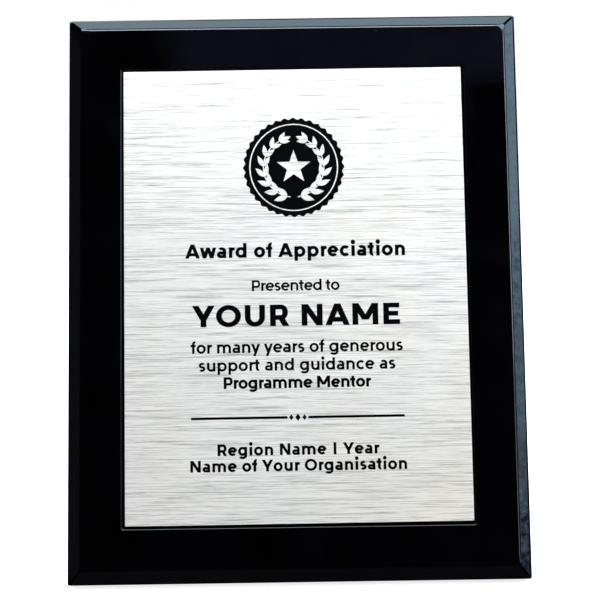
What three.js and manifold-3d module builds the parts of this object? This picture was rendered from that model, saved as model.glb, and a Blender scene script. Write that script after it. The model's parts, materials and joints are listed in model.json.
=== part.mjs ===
// Wooden award plaque, standing on its back strut.
//
// Units are millimetres and +Z is up. The plaque faces -Y and leans back by LEAN.
// The origin is on the table, under the middle of the whole plaque.
//
// Board frame, before leaning: X across the board, Z up from its lower edge, and Y is depth.
// The back of the board is Y = 0, its front is at negative Y, and what is fixed on the back
// is at positive Y.

import * as THREE from 'three';
import { mergeVertices } from 'three/addons/utils/BufferGeometryUtils.js';
import Module from 'manifold-3d';

// ---------------------------------------------------------------- driving dimensions

const GAP = 0.3;                        // clearance between pieces that touch
const RAD = Math.PI / 180;

const LEAN = 15 * RAD;                  // board's lean from upright when it stands
const OPENING = 26 * RAD;               // strut's angle from the board when it is open

const BOARD = { width: 203.2, height: 254, thickness: 15 };
const BEVEL = { width: 5.6, depth: 3.5 };
const FRONT_ARRIS_RADIUS = 1.0;         // lacquered arris between face and bevel
const SIDE_ARRIS_RADIUS = 0.8;          // arris between bevel and side
const BACK_ARRIS_RADIUS = 2.0;
const BOARD_CORNER_RADIUS = 1.0;

const PLATE = { width: 152.4, height: 203.2, thickness: 1.0 };
const PLATE_TURN = 0.15 * RAD;          // hand-set plate, a little off square
const PLATE_RISE = 0.2;                 // plate's centre above the board's centre
const POCKET_MARGIN = 1.1;              // pocket beyond the plate on each side
const TAPE = { width: 136, height: 18, thickness: 0.6, count: 4, pitch: 56 };

const LINER = { inset: 8, thickness: 0.8, cornerRadius: 4 };
const BUMPER = { radius: 6.35, topRadius: 5.0, height: 5.8, inset: 22 };

const HINGE_HEIGHT = 180;               // hinge axis above the board's lower edge
const KNUCKLE_RADIUS = 2.6;
const KNUCKLE_BORE = 1.3;
const PIN_RADIUS = 1.0;
const LEAF = { width: 30, length: 22, thickness: 1.2, knuckles: 5, knuckleGap: 0.4 };

const STRUT = { topWidth: 50, footWidth: 66, thickness: 2.5, cornerRadius: 4 };
const STRUT_NOTCH = { width: 33, depth: 4.4 };
const STRUT_FOOT = { width: 58, height: 2.0, overhang: 0.8 };

const HANGER = { length: 46, height: 9, thickness: 0.8, rise: 1.3, tab: 9, ramp: 2.5, teeth: 7, toothHeight: 1.6 };
const HANGER_EDGE_DISTANCE = 22;        // hanger's middle line from the board's edge
const NAIL = { headRadius: 1.9, headHeight: 0.7, shankRadius: 0.6, length: 9 };
const SCREW = { headRadius: 2.7, headHeight: 1.5, shankRadius: 1.4, length: 8, spacing: 16 };
const RIVET = { headRadius: 2.5, headHeight: 0.9, shankRadius: 1.2, sinkDepth: 0.8, spacing: 16 };

const ROUND = 16;                       // sides of small round pieces
const FINE_ROUND = 24;                  // sides of larger round pieces

// ---------------------------------------------------------------- worked-out dimensions

const AXIS_DEPTH = GAP + KNUCKLE_RADIUS;                 // hinge axis behind the board's back
const LINER_OUTER = GAP + LINER.thickness;
const STRUT_ANGLE = OPENING - LEAN;                      // open strut's angle from upright
const POCKET_DEPTH = PLATE.thickness + TAPE.thickness + 2 * GAP;

// Strut sections are measured from the hinge axis, with the strut lying along the board.
const STRUT_LEAF_INNER = KNUCKLE_RADIUS - LEAF.thickness;
const STRUT_OUTER = STRUT_LEAF_INNER - GAP;
const STRUT_INNER = STRUT_OUTER - STRUT.thickness;

// The board stands on the lowest facet of its rounded back arris, so the table is at the
// board's lower edge raised by BACK_ARRIS_RADIUS * sin(LEAN).
const AXIS_ABOVE_TABLE = HINGE_HEIGHT * Math.cos(LEAN) - AXIS_DEPTH * Math.sin(LEAN)
  - BACK_ARRIS_RADIUS * Math.sin(LEAN);

// ---------------------------------------------------------------- materials

const finish = (color, roughness, metalness) =>
  new THREE.MeshStandardMaterial({ color, roughness, metalness });

const LACQUER = finish(0x060608, 0.08, 0.0);
const BRUSHED = finish(0xe4e6e8, 0.3, 0.85);
const FOAM = finish(0xdcdcd6, 0.9, 0.0);
const FELT = finish(0x17171a, 1.0, 0.0);
const STEEL = finish(0xb9bbbd, 0.35, 0.9);
const BRASS = finish(0xb8924a, 0.35, 0.9);
const STRUT_BOARD = finish(0x0d0d0f, 0.6, 0.0);
const RUBBER = finish(0x1b1b1c, 0.9, 0.0);

// ---------------------------------------------------------------- solid helpers

const wasm = await Module();
wasm.setup();

// A closed geometry with only shared positions, and without triangles that have no area.
function closed(geometry) {
  const bare = geometry.clone();
  bare.deleteAttribute('normal');
  bare.deleteAttribute('uv');
  const merged = mergeVertices(bare, 1e-4);
  const index = merged.index.array;
  const kept = [];
  for (let i = 0; i < index.length; i += 3) {
    const [a, b, c] = [index[i], index[i + 1], index[i + 2]];
    if (a !== b && b !== c && c !== a) kept.push(a, b, c);
  }
  merged.setIndex(kept);
  return merged;
}

function toManifold(geometry) {
  const merged = closed(geometry);
  return new wasm.Manifold(new wasm.Mesh({
    numProp: 3,
    vertProperties: new Float32Array(merged.attributes.position.array),
    triVerts: new Uint32Array(merged.index.array),
  }));
}

function toGeometry(manifold) {
  const mesh = manifold.getMesh();
  const geometry = new THREE.BufferGeometry();
  geometry.setAttribute('position', new THREE.BufferAttribute(mesh.vertProperties, 3));
  geometry.setIndex(new THREE.BufferAttribute(mesh.triVerts, 1));
  geometry.computeVertexNormals();
  return geometry;
}

// The first geometry with every other geometry cut out of it.
function cut(geometry, tools) {
  return toGeometry(tools.reduce((body, tool) => body.subtract(toManifold(tool)), toManifold(geometry)));
}

function join(geometries) {
  return toGeometry(geometries.map(toManifold).reduce((sum, piece) => sum.add(piece)));
}

function intersect(first, second) {
  return toGeometry(toManifold(first).intersect(toManifold(second)));
}

// A box given by its lowest and highest corners.
function boxBetween([x0, y0, z0], [x1, y1, z1]) {
  const box = new THREE.BoxGeometry(x1 - x0, y1 - y0, z1 - z0);
  return box.translate((x0 + x1) / 2, (y0 + y1) / 2, (z0 + z1) / 2);
}

// A round bar along Y, from y0 to y1, at (x, z).
function barAlongY(radius, y0, y1, x = 0, z = 0) {
  return new THREE.CylinderGeometry(radius, radius, y1 - y0, ROUND).translate(x, (y0 + y1) / 2, z);
}

// A turned piece about the Y axis, from its profile of [radius, y] points.
function turned(profile, sides = ROUND) {
  return new THREE.LatheGeometry(profile.map(([r, y]) => new THREE.Vector2(r, y)), sides);
}

// An outline drawn in (x, z), given a depth from y0 to y1. The outline's y is the board's z.
function plateFromOutline(shape, y0, y1) {
  const solid = new THREE.ExtrudeGeometry(shape, { depth: y1 - y0, bevelEnabled: false, curveSegments: 6 });
  return solid.rotateX(Math.PI / 2).translate(0, y1, 0);
}

// A section drawn in (y, z), carried across the board from x0 to x1.
function barFromSection(section, x0, x1) {
  const shape = section instanceof THREE.Shape
    ? section
    : new THREE.Shape(section.map(([y, z]) => new THREE.Vector2(y, z)));
  const solid = new THREE.ExtrudeGeometry(shape, { depth: x1 - x0, bevelEnabled: false, curveSegments: ROUND / 2 });
  // (section y, section z, depth) become (Y, Z, X)
  const turn = new THREE.Matrix4().set(0, 0, 1, x0, 1, 0, 0, 0, 0, 1, 0, 0, 0, 0, 0, 1);
  return solid.applyMatrix4(turn);
}

function roundedRectangle(width, height, radius, centreX = 0, centreY = 0) {
  const [x0, x1] = [centreX - width / 2, centreX + width / 2];
  const [y0, y1] = [centreY - height / 2, centreY + height / 2];
  const shape = new THREE.Shape();
  shape.moveTo(x0 + radius, y0);
  shape.lineTo(x1 - radius, y0);
  shape.absarc(x1 - radius, y0 + radius, radius, -Math.PI / 2, 0);
  shape.lineTo(x1, y1 - radius);
  shape.absarc(x1 - radius, y1 - radius, radius, 0, Math.PI / 2);
  shape.lineTo(x0 + radius, y1);
  shape.absarc(x0 + radius, y1 - radius, radius, Math.PI / 2, Math.PI);
  shape.lineTo(x0, y0 + radius);
  shape.absarc(x0 + radius, y0 + radius, radius, Math.PI, Math.PI * 1.5);
  return shape;
}

function part(name, geometry, material) {
  const mesh = new THREE.Mesh(geometry, material);
  mesh.name = name;
  return mesh;
}

// ---------------------------------------------------------------- board

// Points of a fillet between two lines that meet at a corner, as [inset, y] pairs.
function fillet(corner, from, to, radius, steps) {
  const a = new THREE.Vector2(from[0] - corner[0], from[1] - corner[1]).normalize();
  const b = new THREE.Vector2(to[0] - corner[0], to[1] - corner[1]).normalize();
  const half = a.angleTo(b) / 2;
  const centre = a.clone().add(b).normalize().multiplyScalar(radius / Math.sin(half));
  const start = a.multiplyScalar(radius / Math.tan(half)).sub(centre);
  const end = b.multiplyScalar(radius / Math.tan(half)).sub(centre);
  const sweep = Math.atan2(start.x * end.y - start.y * end.x, start.dot(end));
  return Array.from({ length: steps + 1 }, (_, i) => {
    const arm = start.clone().rotateAround(new THREE.Vector2(), sweep * i / steps);
    return [corner[0] + centre.x + arm.x, corner[1] + centre.y + arm.y];
  });
}

// The board's section from the back face to the front face: how far each level is inset
// from the widest outline, and its depth.
function boardSection() {
  const front = -BOARD.thickness;
  const bevelFoot = front + BEVEL.depth;
  const [backCorner, sideCorner, faceCorner] = [[0, 0], [0, bevelFoot], [BEVEL.width, front]];
  return [
    ...fillet(backCorner, [BEVEL.width, 0], sideCorner, BACK_ARRIS_RADIUS, 3),
    ...fillet(sideCorner, backCorner, faceCorner, SIDE_ARRIS_RADIUS, 2),
    ...fillet(faceCorner, sideCorner, [BOARD.width / 2, front], FRONT_ARRIS_RADIUS, 3),
  ];
}

// A closed solid whose levels are rounded rectangles, each inset by its own amount.
function stackedRectangles(width, height, cornerRadius, section, centreZ) {
  const cornerSteps = 3;
  const corners = [[1, 1, 0], [-1, 1, 1], [-1, -1, 2], [1, -1, 3]];
  const positions = [];
  for (const [inset, y] of section) {
    for (const [sx, sz, quarter] of corners) {
      for (let i = 0; i <= cornerSteps; i += 1) {
        const angle = (quarter + i / cornerSteps) * Math.PI / 2;
        const x = sx * (width / 2 - inset - cornerRadius) + cornerRadius * Math.cos(angle);
        const z = sz * (height / 2 - inset - cornerRadius) + cornerRadius * Math.sin(angle);
        positions.push(x, y, centreZ + z);
      }
    }
  }
  const ring = corners.length * (cornerSteps + 1);
  const last = (section.length - 1) * ring;
  const index = [];
  for (let level = 0; level < section.length - 1; level += 1) {
    for (let i = 0; i < ring; i += 1) {
      const [a, b] = [level * ring + i, level * ring + (i + 1) % ring];
      index.push(a, b, a + ring, b, b + ring, a + ring);
    }
  }
  for (let i = 1; i < ring - 1; i += 1) {
    index.push(0, i + 1, i);
    index.push(last, last + i, last + i + 1);
  }
  const geometry = new THREE.BufferGeometry();
  geometry.setAttribute('position', new THREE.Float32BufferAttribute(positions, 3));
  geometry.setIndex(index);
  return geometry;
}

const middle = BOARD.height / 2;
const hingeScrews = [-1, 1].map((side) => ({
  side: side < 0 ? 'left' : 'right',
  x: side * SCREW.spacing / 2,
  z: HINGE_HEIGHT + LEAF.length * 0.64,
}));

// Each hanger lies along X before it is turned, with its nails at both ends.
const nailOffset = HANGER.length / 2 - HANGER.tab / 2;
const hangers = [
  { name: 'hanger_portrait', x: 0, z: BOARD.height - HANGER_EDGE_DISTANCE, turn: 0 },
  { name: 'hanger_landscape', x: BOARD.width / 2 - HANGER_EDGE_DISTANCE, z: middle, turn: Math.PI / 2 },
];
const nailNames = ['a', 'b'];

function board() {
  const pocket = boxBetween(
    [-PLATE.width / 2 - POCKET_MARGIN, -BOARD.thickness - 1, middle - PLATE.height / 2 - POCKET_MARGIN],
    [PLATE.width / 2 + POCKET_MARGIN, -BOARD.thickness + POCKET_DEPTH, middle + PLATE.height / 2 + POCKET_MARGIN],
  );
  const screwHoles = hingeScrews.map(({ x, z }) => barAlongY(SCREW.shankRadius + GAP, -SCREW.length - 1, 1, x, z));
  const nailHoles = hangers.flatMap(({ x, z, turn }) => [-1, 1].map((end) =>
    barAlongY(NAIL.shankRadius + GAP, -NAIL.length - 1, 1,
      x + end * nailOffset * Math.cos(turn), z + end * nailOffset * Math.sin(turn))));
  const blank = stackedRectangles(BOARD.width, BOARD.height, BOARD_CORNER_RADIUS, boardSection(), middle);
  return part('board', cut(blank, [pocket, ...screwHoles, ...nailHoles]), LACQUER);
}

// ---------------------------------------------------------------- name plate and its tape

function namePlate() {
  const edge = 0.15;                    // sheared edge, eased by hand
  const { thickness, width, height } = PLATE;
  const section = [[0, 0], [0, edge - thickness], [edge, -thickness]];
  const mesh = part('name_plate', closed(stackedRectangles(width, height, 0.4, section, 0)), BRUSHED);
  mesh.position.set(0, -BOARD.thickness + thickness, middle + PLATE_RISE);
  mesh.rotation.y = -PLATE_TURN;
  return mesh;
}

function plateTapes() {
  const back = -BOARD.thickness + POCKET_DEPTH - GAP;
  return Array.from({ length: TAPE.count }, (_, i) => {
    const z = middle + (i - (TAPE.count - 1) / 2) * TAPE.pitch;
    const strip = boxBetween(
      [-TAPE.width / 2, back - TAPE.thickness, z - TAPE.height / 2],
      [TAPE.width / 2, back, z + TAPE.height / 2],
    );
    return part(`plate_tape_${i + 1}`, strip, FOAM);
  });
}

// ---------------------------------------------------------------- back: liner and bumpers

function backLiner() {
  const { inset, thickness, cornerRadius } = LINER;
  const sheet = plateFromOutline(
    roundedRectangle(BOARD.width - 2 * inset, BOARD.height - 2 * inset, cornerRadius, 0, middle),
    GAP, GAP + thickness,
  );
  const clear = 3;                      // cut-outs are this much larger than the piece
  const window = (x0, z0, x1, z1) => boxBetween([x0 - clear, -1, z0 - clear], [x1 + clear, 3, z1 + clear]);
  const headHeight = STRUT_OUTER * Math.cos(OPENING) / Math.sin(OPENING) + AXIS_DEPTH / Math.sin(OPENING);
  const hingeWindow = window(-STRUT.topWidth / 2, HINGE_HEIGHT - KNUCKLE_RADIUS - 2,
    STRUT.topWidth / 2, HINGE_HEIGHT + Math.max(LEAF.length, headHeight));
  const [half, high] = [HANGER.length / 2, HANGER.height / 2];
  const hangerWindows = hangers.map(({ x, z, turn }) => (turn === 0
    ? window(x - half, z - high, x + half, z + high)
    : window(x - high, z - half, x + high, z + half)));
  return part('back_liner', cut(sheet, [hingeWindow, ...hangerWindows]), FELT);
}

function bumpers() {
  const { radius, topRadius, height, inset } = BUMPER;
  const profile = [[0, 0], [radius, 0], [radius, 1.2], [topRadius, height - 0.6], [topRadius - 0.6, height], [0, height]];
  return [['bottom', 'left', -1, -1], ['bottom', 'right', 1, -1], ['top', 'left', -1, 1], ['top', 'right', 1, 1]]
    .map(([row, side, sx, sz]) => {
      const mesh = part(`bumper_${row}_${side}`, closed(turned(profile, FINE_ROUND)), RUBBER);
      mesh.position.set(sx * (BOARD.width / 2 - inset), LINER_OUTER + GAP, middle + sz * (BOARD.height / 2 - inset));
      return mesh;
    });
}

// ---------------------------------------------------------------- sawtooth hangers

function hangerStrip() {
  const { length, height, thickness, rise, tab, ramp, teeth, toothHeight } = HANGER;
  const half = length / 2;
  const low = [[-half, 0], [-half + tab, 0], [-half + tab + ramp, rise],
    [half - tab - ramp, rise], [half - tab, 0], [half, 0]];
  const high = low.map(([x, y]) => [x, y + thickness]).reverse();
  const shape = new THREE.Shape([...low, ...high].map(([x, y]) => new THREE.Vector2(x, y)));
  const strip = new THREE.ExtrudeGeometry(shape, { depth: height, bevelEnabled: false })
    .translate(0, 0, -height / 2);
  const span = length - 2 * (tab + ramp);
  const pitch = span / teeth;
  const toothGap = (i) => {
    const x = -span / 2 + i * pitch;
    const gap = new THREE.Shape([
      new THREE.Vector2(x + pitch * 0.08, -height / 2 - 1),
      new THREE.Vector2(x + pitch * 0.92, -height / 2 - 1),
      new THREE.Vector2(x + pitch * 0.92, -height / 2),
      new THREE.Vector2(x + pitch * 0.5, -height / 2 + toothHeight),
      new THREE.Vector2(x + pitch * 0.08, -height / 2),
    ]);
    return plateFromOutline(gap, -1, rise + thickness + 1);
  };
  const holes = [-1, 1].map((end) => barAlongY(NAIL.shankRadius + GAP, -1, 3, end * nailOffset, 0));
  return cut(strip, [...Array.from({ length: teeth }, (_, i) => toothGap(i)), ...holes]);
}

function hangerSets() {
  const headSeat = GAP + HANGER.thickness + GAP;
  const { headRadius, headHeight, shankRadius, length } = NAIL;
  const profile = [[0, -length], [shankRadius, -length + 1.4], [shankRadius, 0], [headRadius, 0],
    [headRadius, headHeight * 0.45], [headRadius * 0.6, headHeight * 0.9], [0, headHeight]];
  return hangers.map(({ name, x, z, turn }) => {
    const group = new THREE.Group();
    group.position.set(x, 0, z);
    group.rotation.y = -turn;
    const strip = part(name, hangerStrip(), BRASS);
    strip.position.y = GAP;
    const nails = [-1, 1].map((end, i) => {
      const nail = part(`${name}_nail_${nailNames[i]}`, closed(turned(profile)), BRASS);
      nail.position.set(end * nailOffset, headSeat, 0);
      return nail;
    });
    return group.add(strip, ...nails);
  });
}

// ---------------------------------------------------------------- hinge

// Knuckles of one leaf: every second one, starting with the first or the second.
function knuckleSpans(first) {
  const pitch = LEAF.width / LEAF.knuckles;
  return Array.from({ length: LEAF.knuckles }, (_, i) => i)
    .filter((i) => i % 2 === first)
    .map((i) => [-LEAF.width / 2 + i * pitch + LEAF.knuckleGap / 2, -LEAF.width / 2 + (i + 1) * pitch - LEAF.knuckleGap / 2]);
}

// A leaf about the hinge axis. up is +1 for the leaf on the board and -1 for the strut's.
function hingeLeaf(up, first, inner, holes) {
  const outer = inner + LEAF.thickness;
  const clear = KNUCKLE_RADIUS + 0.6;
  const sorted = (a, b) => [Math.min(a, b), Math.max(a, b)];
  const [z0, z1] = sorted(up * clear, up * LEAF.length);
  const [t0, t1] = sorted(0, up * (clear + 0.2));
  const flat = boxBetween([-LEAF.width / 2, inner, z0], [LEAF.width / 2, outer, z1]);
  const barrel = new THREE.Shape().absarc(0, 0, KNUCKLE_RADIUS, 0, Math.PI * 2);
  const knuckles = knuckleSpans(first).flatMap(([x0, x1]) =>
    [barFromSection(barrel, x0, x1), boxBetween([x0, inner, t0], [x1, outer, t1])]);
  const bore = new THREE.Shape().absarc(0, 0, KNUCKLE_BORE, 0, Math.PI * 2);
  return cut(join([flat, ...knuckles]), [barFromSection(bore, -LEAF.width, LEAF.width), ...holes]);
}

function hingePin() {
  const half = LEAF.width / 2 + 0.8;
  const profile = [[0, -half], [PIN_RADIUS * 0.7, -half], [PIN_RADIUS, -half + 0.3],
    [PIN_RADIUS, half - 0.3], [PIN_RADIUS * 0.7, half], [0, half]];
  const mesh = part('hinge_pin', closed(turned(profile)).rotateZ(-Math.PI / 2), STEEL);
  mesh.position.set(0, AXIS_DEPTH, HINGE_HEIGHT);
  return mesh;
}

function boardLeaf() {
  const holes = hingeScrews.map(({ x, z }) => barAlongY(SCREW.shankRadius + GAP, -9, 9, x, z - HINGE_HEIGHT));
  const mesh = part('hinge_board_leaf', hingeLeaf(1, 0, -KNUCKLE_RADIUS, holes), STEEL);
  mesh.position.set(0, AXIS_DEPTH, HINGE_HEIGHT);
  return mesh;
}

function hingeScrewSet() {
  const { headRadius, headHeight, shankRadius, length } = SCREW;
  const profile = [[0, -length], [shankRadius * 0.35, -length], [shankRadius, -length + 2.4], [shankRadius, 0],
    [headRadius, 0], [headRadius, headHeight * 0.35], [headRadius * 0.8, headHeight * 0.8],
    [headRadius * 0.45, headHeight], [0, headHeight]];
  const recess = [[2.6, 0.6], [0.6, 2.6]].map(([w, h]) =>
    boxBetween([-w / 2, headHeight - 0.8, -h / 2], [w / 2, headHeight + 1, h / 2]));
  return hingeScrews.map(({ side, x, z }) => {
    const mesh = part(`hinge_screw_${side}`, cut(turned(profile), recess), STEEL);
    mesh.position.set(x, GAP + LEAF.thickness + GAP, z);
    return mesh;
  });
}

// ---------------------------------------------------------------- strut and what moves with it

// The table's height at depth y, in the strut's own frame.
const soleAt = (y) => -(AXIS_ABOVE_TABLE + y * Math.sin(STRUT_ANGLE)) / Math.cos(STRUT_ANGLE);

// The sloped head meets the back of the board, one gap away, when the strut is open.
const headAt = (y) => (y * Math.cos(OPENING) + AXIS_DEPTH - GAP) / Math.sin(OPENING);

const rivetHeight = -LEAF.length * 0.64;
const rivets = [-1, 1].map((side) => ({ side: side < 0 ? 'left' : 'right', x: side * RIVET.spacing / 2 }));

function strutPanel() {
  const { topWidth, footWidth, cornerRadius } = STRUT;
  const topZ = headAt(STRUT_OUTER) + 1;
  const soleZ = soleAt(0) - 4;
  const outline = new THREE.Shape([
    new THREE.Vector2(-footWidth / 2, soleZ),
    new THREE.Vector2(footWidth / 2, soleZ),
    new THREE.Vector2(topWidth / 2, topZ - cornerRadius),
    new THREE.Vector2(topWidth / 2, topZ),
    new THREE.Vector2(-topWidth / 2, topZ),
    new THREE.Vector2(-topWidth / 2, topZ - cornerRadius),
  ]);
  const footRise = (STRUT_FOOT.height + GAP) / Math.cos(STRUT_ANGLE);
  const side = barFromSection([
    [STRUT_INNER, soleAt(STRUT_INNER) + footRise],
    [STRUT_OUTER, soleAt(STRUT_OUTER) + footRise],
    [STRUT_OUTER, headAt(STRUT_OUTER)],
    [STRUT_INNER, headAt(STRUT_INNER)],
  ], -footWidth, footWidth);
  const notch = boxBetween([-STRUT_NOTCH.width / 2, -10, -STRUT_NOTCH.depth], [STRUT_NOTCH.width / 2, 10, topZ + 1]);
  const rivetHoles = rivets.flatMap(({ x }) => [
    barAlongY(RIVET.shankRadius + GAP, -9, 9, x, rivetHeight),
    barAlongY(RIVET.headRadius + GAP, STRUT_INNER - 1, STRUT_INNER + RIVET.sinkDepth, x, rivetHeight),
  ]);
  const blank = intersect(plateFromOutline(outline, STRUT_INNER - 1, STRUT_OUTER + 1), side);
  return part('strut_panel', cut(blank, [notch, ...rivetHoles]), STRUT_BOARD);
}

function strutFoot() {
  const { width, height, overhang } = STRUT_FOOT;
  const rise = height / Math.cos(STRUT_ANGLE);
  const [inner, outer] = [STRUT_INNER, STRUT_OUTER + overhang];
  return part('strut_foot', barFromSection([
    [inner, soleAt(inner)], [outer, soleAt(outer)], [outer, soleAt(outer) + rise], [inner, soleAt(inner) + rise],
  ], -width / 2, width / 2), RUBBER);
}

function rivetSet() {
  const { headRadius, headHeight, shankRadius, sinkDepth } = RIVET;
  const sink = STRUT_INNER + sinkDepth - GAP;
  const seat = KNUCKLE_RADIUS + GAP;
  const profile = [[0, sink - 0.4], [headRadius, sink - 0.4], [headRadius, sink], [shankRadius, sink],
    [shankRadius, seat], [headRadius, seat], [headRadius * 0.94, seat + headHeight * 0.45],
    [headRadius * 0.62, seat + headHeight * 0.85], [0, seat + headHeight]];
  return rivets.map(({ side, x }) => {
    const mesh = part(`strut_rivet_${side}`, closed(turned(profile)), STEEL);
    mesh.position.set(x, 0, rivetHeight);
    return mesh;
  });
}

function strut() {
  const holes = rivets.map(({ x }) => barAlongY(RIVET.shankRadius + GAP, -9, 9, x, rivetHeight));
  const leaf = part('hinge_strut_leaf', hingeLeaf(-1, 1, STRUT_LEAF_INNER, holes), STEEL);
  const group = new THREE.Group();
  group.position.set(0, AXIS_DEPTH, HINGE_HEIGHT);
  group.rotation.x = OPENING;
  return group.add(strutPanel(), leaf, strutFoot(), ...rivetSet());
}

// ---------------------------------------------------------------- the plaque, standing

const leaning = new THREE.Group();
leaning.rotation.x = -LEAN;
leaning.add(
  board(), namePlate(), ...plateTapes(), backLiner(), ...bumpers(), ...hangerSets(),
  boardLeaf(), hingePin(), ...hingeScrewSet(), strut(),
);

const plaque = new THREE.Group();
plaque.add(leaning);
plaque.updateMatrixWorld(true);

const reach = new THREE.Box3().setFromObject(plaque, true);
leaning.position.set(0, -(reach.min.y + reach.max.y) / 2, -BACK_ARRIS_RADIUS * Math.sin(LEAN));
plaque.updateMatrixWorld(true);

export default plaque;
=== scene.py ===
"""Looks of a black lacquered award plaque that stands on its back strut.

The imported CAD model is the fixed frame. Each surface that shows is a CAD node with a
finish of its own, or a piece worked out here and put where the frame says. Lengths in
the classes are millimetres, and the frame and the scene are in metres.
"""

from __future__ import annotations

import json
import logging
import math
from dataclasses import dataclass
from enum import Enum
from typing import Sequence

import bmesh
import bpy
import numpy as np
from bpy.types import Material, Node, NodeSocket, NodeTree, Object
from mathutils import Matrix, Vector, geometry

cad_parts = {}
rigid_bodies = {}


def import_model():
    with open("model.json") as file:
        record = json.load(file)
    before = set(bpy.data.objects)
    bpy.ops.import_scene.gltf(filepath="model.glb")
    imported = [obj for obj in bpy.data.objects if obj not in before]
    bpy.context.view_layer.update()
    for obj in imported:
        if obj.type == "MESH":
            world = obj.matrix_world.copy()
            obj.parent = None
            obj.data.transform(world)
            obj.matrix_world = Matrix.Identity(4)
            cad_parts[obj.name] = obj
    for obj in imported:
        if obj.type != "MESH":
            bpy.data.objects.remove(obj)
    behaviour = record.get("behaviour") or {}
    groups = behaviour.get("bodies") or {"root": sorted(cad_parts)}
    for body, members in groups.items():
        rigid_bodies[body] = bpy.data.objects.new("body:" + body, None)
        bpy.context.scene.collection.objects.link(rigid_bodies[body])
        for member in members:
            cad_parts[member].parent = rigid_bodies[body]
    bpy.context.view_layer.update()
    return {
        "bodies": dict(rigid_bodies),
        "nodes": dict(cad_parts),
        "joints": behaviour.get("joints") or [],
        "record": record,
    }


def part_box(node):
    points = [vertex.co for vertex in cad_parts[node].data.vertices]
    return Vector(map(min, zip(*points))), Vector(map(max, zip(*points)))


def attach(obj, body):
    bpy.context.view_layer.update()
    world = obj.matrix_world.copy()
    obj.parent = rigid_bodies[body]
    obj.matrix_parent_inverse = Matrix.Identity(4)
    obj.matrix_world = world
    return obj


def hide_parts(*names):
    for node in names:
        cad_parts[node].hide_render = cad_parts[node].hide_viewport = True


LOG = logging.getLogger("plaque")
MM = 0.001
EDGE_ANGLE = 32.0  # degrees, beyond which two faces meet at an edge
FLAT_ANGLE = 1.0  # degrees, below which two faces are one
MERGE_DISTANCE = 0.004  # millimetres, within which two points are one
NORMAL_WEIGHT = 90  # how far the larger face sets the normals of a rounded edge, from 1 to 100
PLATE_TURN = 0.15  # degrees by which the plate and its print sit askew

Colour = tuple[float, float, float]
Ramp = tuple[float, float, float, float]  # low and high, and the values that they become
Inputs = dict[str, object]
Faces = list[tuple[int, ...]]
Glyph = tuple[float, float, float, list[np.ndarray]]  # left side, width, right side and strokes


# --------------------------------------------------------------------------- frames


def mesh_points(mesh: bpy.types.Mesh) -> np.ndarray:
    """Vertex positions of a mesh, one row each.

    Args:
        mesh: The mesh.

    Returns:
        Array (vertex, 3).
    """
    flat = np.empty(len(mesh.vertices) * 3, np.float32)
    mesh.vertices.foreach_get("co", flat)
    return flat.reshape(-1, 3).astype(float)


@dataclass(frozen=True)
class FlatFrame:
    """Frame on a leaning piece: u to the right, v up the piece, w out of its face."""

    origin: np.ndarray
    out: np.ndarray

    @classmethod
    def from_mount(cls, record: dict, name: str) -> FlatFrame:
        """Reads the frame from a flat mount.

        Args:
            record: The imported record.
            name: The mount's name.

        Returns:
            The frame that has the mount's point as its origin and its normal as w.
        """
        mount = next(m for m in record["mounts"] if m["name"] == name)
        return cls(np.array(mount["pos_m"], float), np.array(mount["axis"], float))

    @property
    def axes(self) -> np.ndarray:
        """Rows are the unit vectors u, v and w. u is level.

        Returns:
            Array (axis, 3).
        """
        out = self.out / np.linalg.norm(self.out)
        right = np.array([-out[1], out[0], 0.0])
        right /= np.linalg.norm(right)
        return np.stack([right, np.cross(out, right), out])

    @property
    def lean(self) -> float:
        """Angle in radians by which the face looks up from level."""
        return math.asin(self.axes[2, 2])

    def place(self, points: np.ndarray) -> np.ndarray:
        """Row-frame metres of points given as (u, v, w) in millimetres."""
        return self.origin + (np.asarray(points, float) * MM) @ self.axes

    def measure(self, points: np.ndarray) -> np.ndarray:
        """(u, v, w) in millimetres of row-frame points in metres."""
        return (points - self.origin) @ self.axes.T / MM

    def extent(self, node: Object) -> tuple[np.ndarray, np.ndarray]:
        """Lowest and highest (u, v, w) of a CAD node, in millimetres."""
        points = self.measure(mesh_points(node.data))
        return points.min(0), points.max(0)


# --------------------------------------------------------------------------- mesh helpers


def make_piece(name: str, points: np.ndarray, faces: Faces, smooth: bool = True) -> Object:
    """Makes a mesh object at the origin, with its place in its mesh.

    Args:
        name: The piece's name.
        points: Row-frame positions in metres, one row each.
        faces: Vertex numbers of each face, anticlockwise seen from outside.
        smooth: Whether the faces are shaded smooth.

    Returns:
        The linked object.
    """
    mesh = bpy.data.meshes.new(name)
    mesh.from_pydata(np.asarray(points).tolist(), [], [tuple(map(int, face)) for face in faces])
    mesh.polygons.foreach_set("use_smooth", np.full(len(mesh.polygons), smooth))
    mesh.update()
    piece = bpy.data.objects.new(name, mesh)
    bpy.context.scene.collection.objects.link(piece)
    return piece


def weigh_normals(piece: Object) -> None:
    """Lets large flat faces keep their own normals beside rounded edges.

    Args:
        piece: The piece.
    """
    modifier = piece.modifiers.new("weighted_normals", "WEIGHTED_NORMAL")
    modifier.weight = NORMAL_WEIGHT
    modifier.keep_sharp = True


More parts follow.
